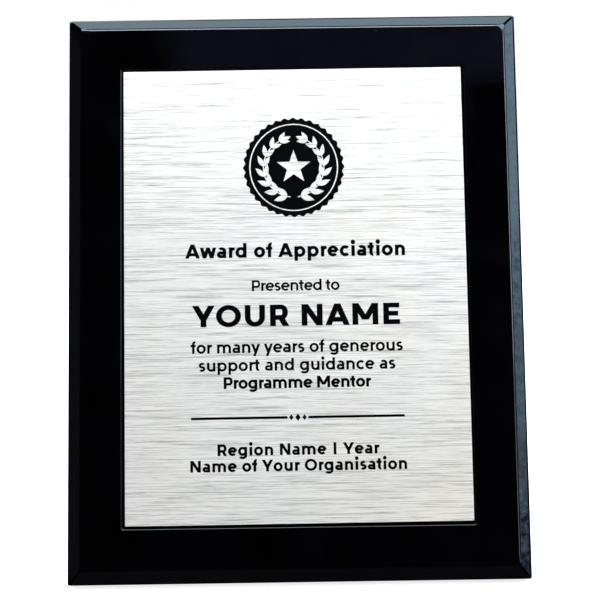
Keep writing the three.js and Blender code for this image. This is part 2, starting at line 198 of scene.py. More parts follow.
def eased_copy(node: Object, name: str, width: float, segments: int) -> Object:
    """Copy of a CAD node whose edges are rounded.

    Points that coincide are merged and flat neighbours joined, so that only true edges
    are left to round.

    Args:
        node: The CAD node, which is left alone.
        name: The copy's name.
        width: The rounding's width in millimetres.
        segments: Faces across the rounding.

    Returns:
        The linked copy.
    """
    shape = bmesh.new()
    shape.from_mesh(node.data)
    bmesh.ops.remove_doubles(shape, verts=shape.verts, dist=MERGE_DISTANCE * MM)
    flat = math.radians(FLAT_ANGLE)
    bmesh.ops.dissolve_limit(shape, angle_limit=flat, verts=shape.verts, edges=shape.edges)
    mesh = bpy.data.meshes.new(name)
    shape.to_mesh(mesh)
    shape.free()
    mesh.polygons.foreach_set("use_smooth", np.full(len(mesh.polygons), True))
    mesh.set_sharp_from_angle(angle=math.radians(EDGE_ANGLE))
    piece = bpy.data.objects.new(name, mesh)
    bpy.context.scene.collection.objects.link(piece)
    bevel = piece.modifiers.new("eased_edges", "BEVEL")
    bevel.width = width * MM
    bevel.segments = segments
    bevel.limit_method = "ANGLE"
    bevel.angle_limit = math.radians(EDGE_ANGLE)
    return piece


def skin(rings: np.ndarray) -> Faces:
    """Faces of a closed skin through rings of equal length.

    Point j of ring i joins its neighbours j + 1 and i + 1 in one four-sided face, the
    last point joins the first, and the first and last ring are closed by flat caps.

    Args:
        rings: Array (ring, point, 3). The points run anticlockwise seen from the side
            that the rings advance to.

    Returns:
        The faces, numbered as rings.reshape(-1, 3) is.
    """
    count, ring = rings.shape[:2]
    number = np.arange(count * ring).reshape(count, ring)
    beside = np.roll(number, -1, axis=1)
    sides = np.stack([number[:-1], beside[:-1], beside[1:], number[1:]], axis=-1).reshape(-1, 4)
    return [*map(tuple, sides), tuple(number[0, ::-1]), tuple(number[-1])]


def rounded_ring(half_width: float, half_height: float, radius: float, steps: int = 6) -> np.ndarray:
    """Rounded rectangle as (u, v) points, anticlockwise.

    Each corner's points are the corner's centre plus the radius times the cosine and
    sine of an angle that sweeps a quarter turn.

    Args:
        half_width: Half the rectangle's width.
        half_height: Half the rectangle's height.
        radius: The corners' radius.
        steps: The number of stretches in each corner.

    Returns:
        Array (point, 2).
    """
    signs = np.array([[1, 1], [-1, 1], [-1, -1], [1, -1]], float)
    centres = signs * (np.array([half_width, half_height]) - radius)
    angles = np.arange(4)[:, None] * math.pi / 2 + np.linspace(0, math.pi / 2, steps + 1)
    arms = radius * np.stack([np.cos(angles), np.sin(angles)], axis=-1)
    return (centres[:, None, :] + arms).reshape(-1, 2)


def stacked_rings(half_width: float, half_height: float, section: np.ndarray) -> np.ndarray:
    """Rings of rounded rectangles, one for each level of a section.

    Args:
        half_width: Half the widest outline's width.
        half_height: Half the widest outline's height.
        section: Rows of (inset, w, corner radius).

    Returns:
        Array (level, point, 3) of (u, v, w).
    """
    levels = []
    for inset, w, radius in section:
        outline = rounded_ring(half_width - inset, half_height - inset, radius)
        levels.append(np.column_stack([outline, np.full(len(outline), w)]))
    return np.stack(levels)


def turned(points: np.ndarray, angle: float) -> np.ndarray:
    """The (u, v) points turned anticlockwise about the origin by angle in radians."""
    cos, sin = math.cos(angle), math.sin(angle)
    return points @ np.array([[cos, sin], [-sin, cos]])


def turned_rings(centre: Sequence[float], profile: Sequence[Sequence[float]], sides: int) -> np.ndarray:
    """Rings of a turned piece whose axis runs along w.

    A point's place is the centre plus its radius times the cosine and sine of an angle
    that sweeps a full turn.

    Args:
        centre: The axis, as (u, v).
        profile: Rows of (radius, w), from the lowest w.
        sides: Points in each ring.

    Returns:
        Array (level, point, 3) of (u, v, w).
    """
    angle = np.linspace(0, 2 * math.pi, sides, endpoint=False)
    radius, w = np.asarray(profile, float).T[:, :, None]
    u = centre[0] + radius * np.cos(angle)
    v = centre[1] + radius * np.sin(angle)
    return np.stack([u, v, np.broadcast_to(w, u.shape)], axis=-1)


def fillet(corner: Sequence[float], before: Sequence[float], after: Sequence[float], radius: float,
           steps: int) -> np.ndarray:
    """Rounds a corner of a section with an arc that touches both its sides.

    The arc's centre lies on the corner's bisector, radius / sin(half angle) away, and
    its ends are radius / tan(half angle) from the corner.

    Args:
        corner: The sharp corner.
        before: A point on the side that comes first.
        after: A point on the side that comes next.
        radius: The arc's radius.
        steps: The number of stretches in the arc.

    Returns:
        The arc's points, one row each.
    """
    corner, before, after = (np.asarray(point, float) for point in (corner, before, after))
    first = (before - corner) / np.linalg.norm(before - corner)
    second = (after - corner) / np.linalg.norm(after - corner)
    half = math.acos(float(first @ second)) / 2
    bisector = (first + second) / np.linalg.norm(first + second)
    centre = corner + bisector * radius / math.sin(half)
    start = corner + first * radius / math.tan(half) - centre
    end = corner + second * radius / math.tan(half) - centre
    sweep = math.atan2(start[0] * end[1] - start[1] * end[0], float(start @ end))
    angle = sweep * np.linspace(0, 1, steps + 1)
    cos, sin = np.cos(angle), np.sin(angle)
    return centre + np.column_stack([start[0] * cos - start[1] * sin, start[0] * sin + start[1] * cos])


@dataclass(frozen=True)
class Bench:
    """What the pieces are fitted to: the CAD nodes and the frames of face, back and strut."""

    nodes: dict[str, Object]
    face: FlatFrame
    back: FlatFrame
    strut: FlatFrame

    @classmethod
    def from_frame(cls, frame: dict) -> Bench:
        """Reads the frames from the mounts and the strut's hinge.

        The strut leans the other way. Its angle from upright is the angle that the hinge
        opens less the angle by which the board leans.


        Returns:
            The bench.
        """
        record = frame["record"]
        face = FlatFrame.from_mount(record, "plate_face")
        hinge = next(joint for joint in frame["joints"] if joint["name"] == "strut_fold")
        tilt = math.radians(-hinge["range_deg"][0]) - face.lean
        strut = FlatFrame(np.array(hinge["pos_m"], float), np.array([0.0, math.cos(tilt), math.sin(tilt)]))
        return cls(frame["nodes"], face, FlatFrame.from_mount(record, "wall_bumper"), strut)

    def fit(self, piece: Object, finish: Material, body: str, slot: str, *nodes: str) -> None:
        """Gives a piece its finish and its body, and hides the CAD nodes that it stands for.

        A smooth piece also gets weighted normals.

        Args:
            piece: The piece.
            finish: Its material.
            body: The body that it rides on.
            slot: Not used.
            nodes: The CAD nodes that it stands for, if any.
        """
        if piece.data.polygons[0].use_smooth:
            weigh_normals(piece)
        piece.data.materials.append(finish)
        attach(piece, body)
        if nodes:
            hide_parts(*nodes)
        LOG.info("%s rides on %s: %d faces", piece.name, body, len(piece.data.polygons))

    def cast(self, name: str, rings: np.ndarray, frame: FlatFrame, finish: Material, body: str, slot: str,
             node: str) -> Object:
        """Makes a closed skin in place of a CAD node, and fits it.

        Args:
            name: The piece's name.
            rings: Array (level, point, 3) of (u, v, w), as skin takes it.
            frame: The frame that the rings are in.
            finish: The piece's material.
            body: The body that it rides on.
            slot: The record's slot for its material.
            node: The CAD node that it stands for.

        Returns:
            The fitted piece.
        """
        piece = make_piece(name, frame.place(rings.reshape(-1, 3)), skin(rings))
        self.fit(piece, finish, body, slot, node)
        return piece

    def ease(self, node: str, name: str, width: float, finish: Material, body: str, slot: str,
             segments: int = 2) -> Object:
        """Makes an eased copy in place of a CAD node, and fits it.

        Args:
            node: The CAD node.
            name: The copy's name.
            width: The rounding's width in millimetres.
            finish: The copy's material.
            body: The body that it rides on.
            slot: The record's slot for its material.
            segments: Faces across the rounding.

        Returns:
            The fitted copy.
        """
        piece = eased_copy(self.nodes[node], name, width, segments)
        self.fit(piece, finish, body, slot, node)
        return piece

    def dress(self, node: str, finish: Material) -> None:
        """Gives a CAD node that stays a finish of its own.

        Args:
            node: The CAD node's name.
            finish: The node's material.
        """
        self.nodes[node].data.materials.clear()
        self.nodes[node].data.materials.append(finish)
        LOG.info("%s keeps its shape, in %s", node, finish.name)


# --------------------------------------------------------------------------- shader helpers


class Shader:
    """Makes and joins the nodes of one node tree."""

    def __init__(self, tree: NodeTree) -> None:
        """Keeps the tree that the nodes go into."""
        self.tree = tree

    def add(self, kind: str, **settings: object) -> Node:
        """Adds a node and gives its properties the values in settings.

        Args:
            kind: The node's type.
            settings: Property values by name.

        Returns:
            The node.
        """
        node = self.tree.nodes.new(kind)
        for name, value in settings.items():
            setattr(node, name, value)
        return node

    def put(self, socket: NodeSocket, value: object) -> None:
        """Links an output to a socket, or sets the socket's own value.

        Args:
            socket: The input to fill.
            value: An output, or a constant.
        """
        if isinstance(value, NodeSocket):
            self.tree.links.new(value, socket)
        else:
            socket.default_value = value

    def feed(self, node: Node, inputs: Inputs) -> Node:
        """Fills a node's inputs by name.

        Args:
            node: The node.
            inputs: Outputs or constants, by the name of the input.

        Returns:
            The same node.
        """
        for name, value in inputs.items():
            self.put(node.inputs[name], value)
        return node

    def maths(self, operation: str, first: object, second: object = 0.0) -> NodeSocket:
        """Result of a Math node on two values or outputs.

        Args:
            operation: The node's operation.
            first: The first output or constant.
            second: The second output or constant.

        Returns:
            The result.
        """
        node = self.add("ShaderNodeMath", operation=operation)
        self.put(node.inputs[0], first)
        self.put(node.inputs[1], second)
        return node.outputs["Value"]

    def spread(self, value: object, ramp: Ramp) -> NodeSocket:
        """Maps a value through a ramp, held at both ends.

        Args:
            value: The output to map.
            ramp: Low and high, and the values that they become.

        Returns:
            The mapped value.
        """
        node = self.add("ShaderNodeMapRange")
        self.feed(node, {"Value": value, **dict(zip(("From Min", "From Max", "To Min", "To Max"), ramp))})
        return node.outputs["Result"]

    def tint(self, share: NodeSocket, first: object, second: object) -> NodeSocket:
        """Colour from first to second, as share goes from 0 to 1.

        Args:
            share: The output that mixes.
            first: Colour or output at 0.
            second: Colour or output at 1.

        Returns:
            The colour.
        """
        node = self.add("ShaderNodeMix", data_type="RGBA")
        self.put(node.inputs["Factor"], share)
        first_socket, second_socket = (s for s in node.inputs if s.type == "RGBA")
        self.put(first_socket, first if isinstance(first, NodeSocket) else (*first, 1.0))
        self.put(second_socket, second if isinstance(second, NodeSocket) else (*second, 1.0))
        return next(s for s in node.outputs if s.type == "RGBA")

    def noise(self, vector: object, scale: object, detail: float = 2.0, roughness: float = 0.5) -> NodeSocket:
        """Value of a Noise texture.

        Args:
            vector: Where the texture is read.
            scale: How many cells there are to a unit.
            detail: How many finer layers are added.
            roughness: Each finer layer's strength.

        Returns:
            The texture's value, from 0 to 1.
        """
        node = self.add("ShaderNodeTexNoise")
        self.feed(node, {"Vector": vector, "Scale": scale, "Detail": detail, "Roughness": roughness})
        return node.outputs["Fac"]

    def stretch(self, vector: object, scale: object) -> NodeSocket:
        """The vector times a scale for each axis.

        Args:
            vector: The vector.
            scale: One factor for each axis.

        Returns:
            The stretched vector.
        """
        node = self.add("ShaderNodeVectorMath", operation="MULTIPLY")
        self.put(node.inputs[0], vector)
        self.put(node.inputs[1], scale)
        return node.outputs["Vector"]

    def millimetres(self, tilt: float) -> NodeSocket:
        """Object coordinates in millimetres, turned so that Z runs up a piece that leans back by tilt.

        Args:
            tilt: The lean in radians.

        Returns:
            The place in millimetres.
        """
        place = self.add("ShaderNodeTexCoord")
        turn = self.add("ShaderNodeMapping")
        turn.inputs["Rotation"].default_value = (tilt, 0.0, 0.0)
        turn.inputs["Scale"].default_value = (1 / MM,) * 3
        self.put(turn.inputs["Vector"], place.outputs["Object"])
        return turn.outputs["Vector"]

    def bump(self, height: object, depth: float, under: object | None = None) -> NodeSocket:
        """Normal of a height from 0 to 1 that stands for depth in millimetres.

        Args:
            height: The output that gives the height.
            depth: What a height of 1 stands for, in millimetres.
            under: The normal that it is added to.

        Returns:
            The normal.
        """
        node = self.add("ShaderNodeBump")
        self.feed(node, {"Height": height, "Distance": depth * MM, "Strength": 1.0})
        if under is not None:
            self.put(node.inputs["Normal"], under)
        return node.outputs["Normal"]

    def group(self, tree: NodeTree, inputs: Inputs) -> Node:
        """Places a shared group and fills its inputs."""
        node = self.add("ShaderNodeGroup", node_tree=tree)
        return self.feed(node, inputs)


def new_group(name: str, inputs: Sequence[str], outputs: Sequence[str]) -> tuple[Shader, Node, Node]:
    """Starts a shared shader group.

    Args:
        name: The group's name.
        inputs: Names of its value inputs. It also has a Vector input.
        outputs: Names of its value outputs.

    Returns:
        Its shader helper, its input node and its output node.
    """
    tree = bpy.data.node_groups.new(name, "ShaderNodeTree")
    tree.interface.new_socket("Vector", in_out="INPUT", socket_type="NodeSocketVector")
    for label in inputs:
        tree.interface.new_socket(label, in_out="INPUT", socket_type="NodeSocketFloat")
    for label in outputs:
        tree.interface.new_socket(label, in_out="OUTPUT", socket_type="NodeSocketFloat")
    return Shader(tree), tree.nodes.new("NodeGroupInput"), tree.nodes.new("NodeGroupOutput")


class Effects:
    """Shader groups that several finishes share, each built once."""

    BROADER = (1 / 3, 1 / 5, 1 / 5)
    CLOUD_SHARE: Ramp = (0.3, 0.7, 0.0, 1.0)
    SPECK_PATCH = 0.37
    SPECK_REACH = 0.6
    SPECK_EDGE: Ramp = (0.0, 0.03, 0.0, 1.0)

    def __init__(self) -> None:
        """Builds the groups."""
        self.brushing = self._brushing()
        self.mottle = self._mottle()
        self.specks = self._specks()

    def cloud(self, shader: Shader, place: NodeSocket, size: float) -> NodeSocket:
        """Soft clouds of a size, from 0 to 1."""
        return shader.group(self.mottle, {"Vector": place, "Size": size}).outputs["Cloud"]

    def dust(self, shader: Shader, place: NodeSocket, kind: tuple[float, float]) -> NodeSocket:
        """Mask of specks, whose kind is their size and rarity."""
        size, rarity = kind
        return shader.group(self.specks, {"Vector": place, "Size": size, "Rarity": rarity}).outputs["Mask"]

    def lines(self, shader: Shader, place: NodeSocket,
              kind: tuple[float, float]) -> tuple[NodeSocket, NodeSocket]:
        """Fine and broad lines, whose kind is their length and spacing.

        Args:
            shader: The material's shader helper.
            place: The place on the piece in millimetres.
            kind: The lines' length and spacing in millimetres.

        Returns:
            The fine and the broad lines, from 0 to 1.
        """
        length, spacing = kind
        node = shader.group(self.brushing, {"Vector": place, "Length": length, "Spacing": spacing})
        return node.outputs["Fine"], node.outputs["Broad"]

    def _brushing(self) -> NodeTree:
        """Lines along X: noise whose X is divided by Length and whose other axes are divided by Spacing.

        Fine is one such noise, and Broad is one with lines five times as wide and three
        times as long.

        Returns:
            The group's tree.
        """
        shader, source, sink = new_group("brushed_lines", ["Length", "Spacing"], ["Fine", "Broad"])
        along = shader.maths("DIVIDE", 1.0, source.outputs["Length"])
        across = shader.maths("DIVIDE", 1.0, source.outputs["Spacing"])
        scale = shader.add("ShaderNodeCombineXYZ")
        shader.feed(scale, {"X": along, "Y": across, "Z": across})
        lines = shader.stretch(source.outputs["Vector"], scale.outputs["Vector"])
        wide = shader.stretch(lines, self.BROADER)
        shader.put(sink.inputs["Fine"], shader.noise(lines, 1.0, 3.0, 0.8))
        shader.put(sink.inputs["Broad"], shader.noise(wide, 1.0, 3.0, 0.6))
        return shader.tree

    def _mottle(self) -> NodeTree:
        """Clouds of the given Size in millimetres, spread to fill 0 to 1.

        Returns:
            The group's tree.
        """
        shader, source, sink = new_group("soft_mottle", ["Size"], ["Cloud"])
        scale = shader.maths("DIVIDE", 1.0, source.outputs["Size"])
        cloud = shader.noise(source.outputs["Vector"], scale, 3.0, 0.55)
        shader.put(sink.inputs["Cloud"], shader.spread(cloud, self.CLOUD_SHARE))
        return shader.tree

    def _specks(self) -> NodeTree:
        """Dust: the middles of Voronoi cells of the given Size, smaller as Rarity nears 1.

        Returns:
            The group's tree.
        """
        shader, source, sink = new_group("dust_specks", ["Size", "Rarity"], ["Mask"])
        cells = shader.add("ShaderNodeTexVoronoi")
        scale = shader.maths("DIVIDE", 1.0, source.outputs["Size"])
        shader.feed(cells, {"Vector": source.outputs["Vector"], "Scale": scale})
        patch = shader.noise(source.outputs["Vector"], shader.maths("MULTIPLY", scale, self.SPECK_PATCH), 1.0)
        above = shader.maths("SUBTRACT", patch, source.outputs["Rarity"])
        reach = shader.maths("MULTIPLY", above, self.SPECK_REACH)
        inside = shader.maths("SUBTRACT", reach, cells.outputs["Distance"])
        shader.put(sink.inputs["Mask"], shader.spread(inside, self.SPECK_EDGE))
        return shader.tree


# --------------------------------------------------------------------------- finishes


def new_material(name: str) -> tuple[Material, Shader, Node]:
    """Starts a material: the material, its shader helper and its Principled BSDF.

    Args:
        name: The material's name.

    Returns:
        The material, its shader helper and its Principled BSDF.
    """
    material = bpy.data.materials.new(name)
    material.use_nodes = True
    shader = Shader(material.node_tree)
    return material, shader, material.node_tree.nodes["Principled BSDF"]


class Finish:
    """A finish: what varies over the surface, and the values in FIXED, which are the same all over."""

    title: str
    FIXED: dict[str, float] = {}

    def varying(self, shader: Shader, effects: Effects, place: NodeSocket) -> Inputs:
        """The surface's varying inputs, worked out from a place in millimetres."""
        raise NotImplementedError

    def material(self, effects: Effects, tilt: float) -> Material:
        """Builds the material.

        Args:
            effects: The shader groups that finishes share.
            tilt: The angle in radians by which the piece leans back.

        Returns:
            The material.
        """
        material, shader, surface = new_material(self.title)
        shader.feed(surface, {**self.varying(shader, effects, shader.millimetres(tilt)), **self.FIXED})
        return material


@dataclass(frozen=True)
class Lacquer(Finish):
    """Black high-gloss lacquer, poured and polished, with a soft waviness and a little dust.

    Its relief is three noises, each a size and a depth: waves, ripples and orange peel.
    Where the mesh's attribute marks the right bevel, teal and violet clouds are painted
    into the colour here and there: a painted reflection, over rougher lacquer.
    """

    title: str = "black_lacquer"
    deep: Colour = (0.0001, 0.0001, 0.0002)
    hazy: Colour = (0.0006, 0.0006, 0.0010)
    haze_size: float = 26.0
    polish: Ramp = (0.0, 1.0, 0.03, 0.12)
    relief: tuple[tuple[float, float], ...] = ((15.0, 0.010), (3.4, 0.008), (0.9, 0.0008))
    dust: tuple[float, float] = (2.6, 0.6)
    dust_roughness: float = 0.5
    # Teal and violet clouds painted on the right bevel: a painted reflection, over rougher lacquer.
    reflection_teal: Colour = (0.017, 0.040, 0.047)
    reflection_violet: Colour = (0.039, 0.035, 0.063)
    reflection_size: float = 2.6
    reflection_hue_size: float = 5.98
    reflection_patch_size: float = 30.0
    reflection_patch: Ramp = (0.36, 0.58, 0.35, 1.0)
    reflection_roughness: float = 0.30
    FIXED = {"IOR": 1.5}

    def varying(self, shader: Shader, effects: Effects, place: NodeSocket) -> Inputs:
        """Haze, dust, the painted reflection on the right bevel, and the relief.

        Args:
            shader: The material's shader helper.
            effects: The shader groups that finishes share.
            place: The place on the piece in millimetres.

        Returns:
            Values and outputs by the name of the input.
        """
        haze = effects.cloud(shader, place, self.haze_size)
        # Painted reflection: teal and violet clouds on the faces that the board marks as its right bevel.
        painted_reflection_bevel = shader.add("ShaderNodeAttribute", attribute_name="painted_reflection_bevel").outputs["Fac"]
        patch = shader.spread(shader.noise(place, 1 / self.reflection_patch_size, 1.0), self.reflection_patch)
        painted_reflection_mark = shader.maths("MULTIPLY", shader.maths("MULTIPLY", painted_reflection_bevel, patch),
                            effects.cloud(shader, place, self.reflection_size))
        reflection_hue = effects.cloud(shader, place, self.reflection_hue_size)
        dusty = shader.maths("MULTIPLY", effects.dust(shader, place, self.dust), self.dust_roughness)
        rough = shader.maths("MAXIMUM", shader.spread(haze, self.polish), dusty)
        normal = None
        for size, depth in self.relief:
            normal = shader.bump(shader.noise(place, 1 / size, 1.0), depth, normal)
        return {
            "Base Color": shader.tint(painted_reflection_mark, shader.tint(haze, self.deep, self.hazy),
                                      shader.tint(reflection_hue, self.reflection_teal, self.reflection_violet)),
            "Roughness": shader.maths("MAXIMUM", rough, shader.maths("MULTIPLY", painted_reflection_mark, self.reflection_roughness)),
            "Normal": normal,
        }


@dataclass(frozen=True)
class BrushedAluminium(Finish):
    """Bright sheet brushed from side to side, under a thin clear satin coat.

    The colour goes from light to a painted warm reflection, a little darker, in patches
    towards the right, and to dark where a fine line falls in a broad one.
    """

    title: str = "brushed_aluminium"
    light: Colour = (0.845, 0.812, 0.758)
    # Painted reflection: patches towards the right are painted this warmer, slightly darker tint.
    warm_reflection: Colour = (0.83, 0.750, 0.630)
    dark: Colour = (0.18, 0.175, 0.163)
    lines: tuple[float, float] = (24.0, 0.25)
    fine_share: Ramp = (0.41, 0.50, 1.0, 0.0)
    broad_share: Ramp = (0.36, 0.62, 0.26, 0.78)
    line_depth: float = 0.006
    patch_size: float = 46.0
    warm_reflection_side: Ramp = (-10.0, 90.0, 0.0, 1.0)
    roughness: Ramp = (0.3, 0.7, 0.32, 0.46)
    FIXED = {"Metallic": 0.57}

    def varying(self, shader: Shader, effects: Effects, place: NodeSocket) -> Inputs:
        """Brushed lines over patches of two tints, the warmer one a painted reflection towards the right.

        Args:
            shader: The material's shader helper.
            effects: The shader groups that finishes share.
            place: The place on the piece in millimetres.

        Returns:
            Values and outputs by the name of the input.
        """
        fine, broad = effects.lines(shader, place, self.lines)
        across = shader.add("ShaderNodeSeparateXYZ")
        shader.put(across.inputs["Vector"], place)
        # Painted reflection: warmer and a little darker towards the right, in patches.
        painted_warm_reflection = shader.maths("MULTIPLY", effects.cloud(shader, place, self.patch_size),
                              shader.spread(across.outputs["X"], self.warm_reflection_side))
        line = shader.maths("MULTIPLY", shader.spread(fine, self.fine_share),
                            shader.spread(broad, self.broad_share))
        return {
            "Base Color": shader.tint(line, shader.tint(painted_warm_reflection, self.light, self.warm_reflection), self.dark),
            "Roughness": shader.spread(fine, self.roughness),
            "Normal": shader.bump(fine, self.line_depth),
        }


@dataclass(frozen=True)
class PrintInk(Finish):
    """Black ink baked into the brushed sheet, whose lines still show faintly through it."""

    title: str = "print_ink"
    colour: Colour = (0.0002, 0.0002, 0.0006)
    worn: Colour = (0.0020, 0.0022, 0.0032)
    lines: tuple[float, float] = (9.0, 0.3)
    line_depth: float = 0.002
    wear: Ramp = (0.55, 0.75, 0.0, 1.0)
    roughness: Ramp = (0.3, 0.7, 0.50, 0.70)
    FIXED = {"Specular IOR Level": 0.03}

    def varying(self, shader: Shader, effects: Effects, place: NodeSocket) -> Inputs:
        """Thin places along the lines.

        Args:
            shader: The material's shader helper.
            effects: The shader groups that finishes share.
            place: The place on the piece in millimetres.

        Returns:
            Values and outputs by the name of the input.
        """
        fine, _ = effects.lines(shader, place, self.lines)
        return {
            "Base Color": shader.tint(shader.spread(fine, self.wear), self.colour, self.worn),
            "Roughness": shader.spread(fine, self.roughness),
            "Normal": shader.bump(fine, self.line_depth),
        }


@dataclass(frozen=True)
class Metal(Finish):
    """Stamped and plated metal: rolling lines, dull patches and a slightly uneven face."""

    title: str
    bright: Colour
    dull: Colour
    roughness: Ramp
    patch_size: float = 7.0
    lines: tuple[float, float] = (9.0, 0.35)
    line_share: Ramp = (0.3, 0.7, 0.6, 1.2)
    line_depth: float = 0.003
    uneven_scale: float = 0.45
    uneven_depth: float = 0.02
    FIXED = {"Metallic": 1.0}

    def varying(self, shader: Shader, effects: Effects, place: NodeSocket) -> Inputs:
        """Wear in patches, streaked by the lines.

        Args:
            shader: The material's shader helper.
            effects: The shader groups that finishes share.
            place: The place on the piece in millimetres.

        Returns:
            Values and outputs by the name of the input.
        """
        fine, _ = effects.lines(shader, place, self.lines)
        worn = shader.maths("MULTIPLY", effects.cloud(shader, place, self.patch_size),
                            shader.spread(fine, self.line_share))
        uneven = shader.bump(shader.noise(place, self.uneven_scale), self.uneven_depth)
        return {
            "Base Color": shader.tint(worn, self.bright, self.dull),
            "Roughness": shader.spread(worn, self.roughness),
            "Normal": shader.bump(fine, self.line_depth, uneven),
        }


AGED_BRASS = Metal("aged_brass", (0.62, 0.43, 0.17), (0.30, 0.20, 0.09), (0.0, 1.0, 0.26, 0.50))
NICKEL_PLATE = Metal("nickel_plate", (0.66, 0.65, 0.62), (0.40, 0.39, 0.37), (0.0, 1.0, 0.22, 0.42))


@dataclass(frozen=True)
class Felt(Finish):
    """Short black felt: tangled fibres, thin and thick places, and a pale bloom at grazing angles."""

    title: str = "black_felt"
    deep: Colour = (0.0045, 0.0045, 0.0052)
    fibre: Colour = (0.026, 0.026, 0.030)
    fibre_size: float = 0.55
    fibre_share: Ramp = (0.45, 0.75, 0.0, 1.0)
    fibre_depth: float = 0.16
    clump_size: float = 5.0
    clump_share: Ramp = (0.0, 1.0, 0.55, 1.0)
    clump_depth: float = 0.10
    lint: tuple[float, float] = (6.0, 0.56)
    roughness: Ramp = (0.0, 1.0, 0.86, 1.0)
    FIXED = {"Sheen Weight": 0.08, "Specular IOR Level": 0.1}

    def varying(self, shader: Shader, effects: Effects, place: NodeSocket) -> Inputs:
        """Fibres that lie and fibres that stand, each a stretched noise, and the clumps that they make.

        Args:
            shader: The material's shader helper.
            effects: The shader groups that finishes share.
            place: The place on the piece in millimetres.

        Returns:
            Values and outputs by the name of the input.
        """
        lying, standing = (shader.noise(shader.stretch(place, way), 1 / self.fibre_size, 3.0, 0.7)
                           for way in ((0.4, 1.6, 1.6), (1.6, 1.6, 0.4)))
        tangle = shader.maths("MAXIMUM", lying, standing)
        clumps = effects.cloud(shader, place, self.clump_size)
        pale = shader.maths("MULTIPLY", shader.spread(tangle, self.fibre_share),
                            shader.spread(clumps, self.clump_share))
        lint = effects.dust(shader, place, self.lint)
        return {
            "Base Color": shader.tint(shader.maths("MAXIMUM", pale, lint), self.deep, self.fibre),
            "Roughness": shader.spread(clumps, self.roughness),
            "Normal": shader.bump(tangle, self.fibre_depth, shader.bump(clumps, self.clump_depth)),
        }


@dataclass(frozen=True)
class GrainedPaper(Finish):
    """Black paper embossed with a leather grain: rounded pebbles with creases between them. The creases are
    painted darker: painted shade.
    """

    title: str = "grained_paper"
    # Painted shade: the creases are painted darker than the pebble tops.
    shaded_crease: Colour = (0.0025, 0.0025, 0.0028)
    pebble: Colour = (0.0125, 0.0125, 0.0135)
    grain_size: float = 1.15
    grain_bend: float = 0.7
    grain_share: Ramp = (0.18, 0.72, 1.0, 0.0)
    grain_depth: float = 0.11
    rub_size: float = 22.0
    rub_share: Ramp = (0.0, 1.0, 0.6, 1.0)
    fine_scale: float = 2.0
    fine_depth: float = 0.02
    roughness: Ramp = (0.0, 1.0, 0.42, 0.66)

    def varying(self, shader: Shader, effects: Effects, place: NodeSocket) -> Inputs:
        """Pebbles are smooth Voronoi cells whose place is bent by a noise. The creases between them are
        painted darker, as painted shade, and rubbed patches are paler, as wear.

        Args:
            shader: The material's shader helper.
            effects: The shader groups that finishes share.
            place: The place on the piece in millimetres.

        Returns:
            Values and outputs by the name of the input.
        """
        bend = shader.add("ShaderNodeTexNoise")
        shader.feed(bend, {"Vector": place, "Scale": self.grain_bend, "Detail": 1.0})
        moved = shader.add("ShaderNodeVectorMath", operation="ADD")
        shader.put(moved.inputs[0], place)
        shader.put(moved.inputs[1], bend.outputs["Color"])
        cells = shader.add("ShaderNodeTexVoronoi", feature="SMOOTH_F1")
        shader.feed(cells, {"Vector": moved.outputs["Vector"], "Scale": 1 / self.grain_size})
        pebble = shader.spread(cells.outputs["Distance"], self.grain_share)
        rubbed = effects.cloud(shader, place, self.rub_size)
        pale = shader.maths("MULTIPLY", pebble, shader.spread(rubbed, self.rub_share))
        fine = shader.bump(shader.noise(place, self.fine_scale), self.fine_depth)
        return {
            # Painted shade in the creases, and paler pebble tops where rubbed, as wear.
            "Base Color": shader.tint(pale, self.shaded_crease, self.pebble),
            "Roughness": shader.spread(rubbed, self.roughness),
            "Normal": shader.bump(pebble, self.grain_depth, fine),
        }


@dataclass(frozen=True)
class Rubber(Finish):
    """Matt moulded rubber with a fine sparked skin and a little lint."""

    title: str = "black_rubber"
    clean: Colour = (0.010, 0.010, 0.010)
    dusty: Colour = (0.055, 0.053, 0.050)
    bloom_size: float = 3.5
    bloom_share: float = 0.35
    lint: tuple[float, float] = (1.4, 0.55)
    skin_size: float = 0.35
    skin_depth: float = 0.02
    roughness: Ramp = (0.0, 1.0, 0.38, 0.56)

    def varying(self, shader: Shader, effects: Effects, place: NodeSocket) -> Inputs:
        """Bloom in clouds, lint on top, and the skin's grain.

        Args:
            shader: The material's shader helper.
            effects: The shader groups that finishes share.
            place: The place on the piece in millimetres.

        Returns:
            Values and outputs by the name of the input.
        """
        bloom = effects.cloud(shader, place, self.bloom_size)
        dust = shader.maths("MAXIMUM", shader.maths("MULTIPLY", bloom, self.bloom_share),
                            effects.dust(shader, place, self.lint))
        return {
            "Base Color": shader.tint(dust, self.clean, self.dusty),
            "Roughness": shader.spread(bloom, self.roughness),
            "Normal": shader.bump(shader.noise(place, 1 / self.skin_size), self.skin_depth),
        }


@dataclass(frozen=True)
class Foam(Finish):
    """White double-sided foam tape: fine open cells, a little yellowed."""

    title: str = "foam_tape"
    fresh: Colour = (0.74, 0.73, 0.70)
    aged: Colour = (0.58, 0.55, 0.47)
    patch_size: float = 14.0
    cell_size: float = 0.3
    cell_depth: float = 0.06
    roughness: Ramp = (0.3, 0.7, 0.8, 0.95)

    def varying(self, shader: Shader, effects: Effects, place: NodeSocket) -> Inputs:
        """Yellowed patches and cells.

        Args:
            shader: The material's shader helper.
            effects: The shader groups that finishes share.
            place: The place on the piece in millimetres.

        Returns:
            Values and outputs by the name of the input.
        """
        cells = shader.noise(place, 1 / self.cell_size)
        return {
            "Base Color": shader.tint(effects.cloud(shader, place, self.patch_size), self.fresh, self.aged),
            "Roughness": shader.spread(cells, self.roughness),
            "Normal": shader.bump(cells, self.cell_depth),
        }


# --------------------------------------------------------------------------- lettering


class Cut(Enum):
    """How a bar's two ends are cut."""

    SQUARE = "square to the bar"
    LEVEL = "level, as the slanting strokes of capitals are"


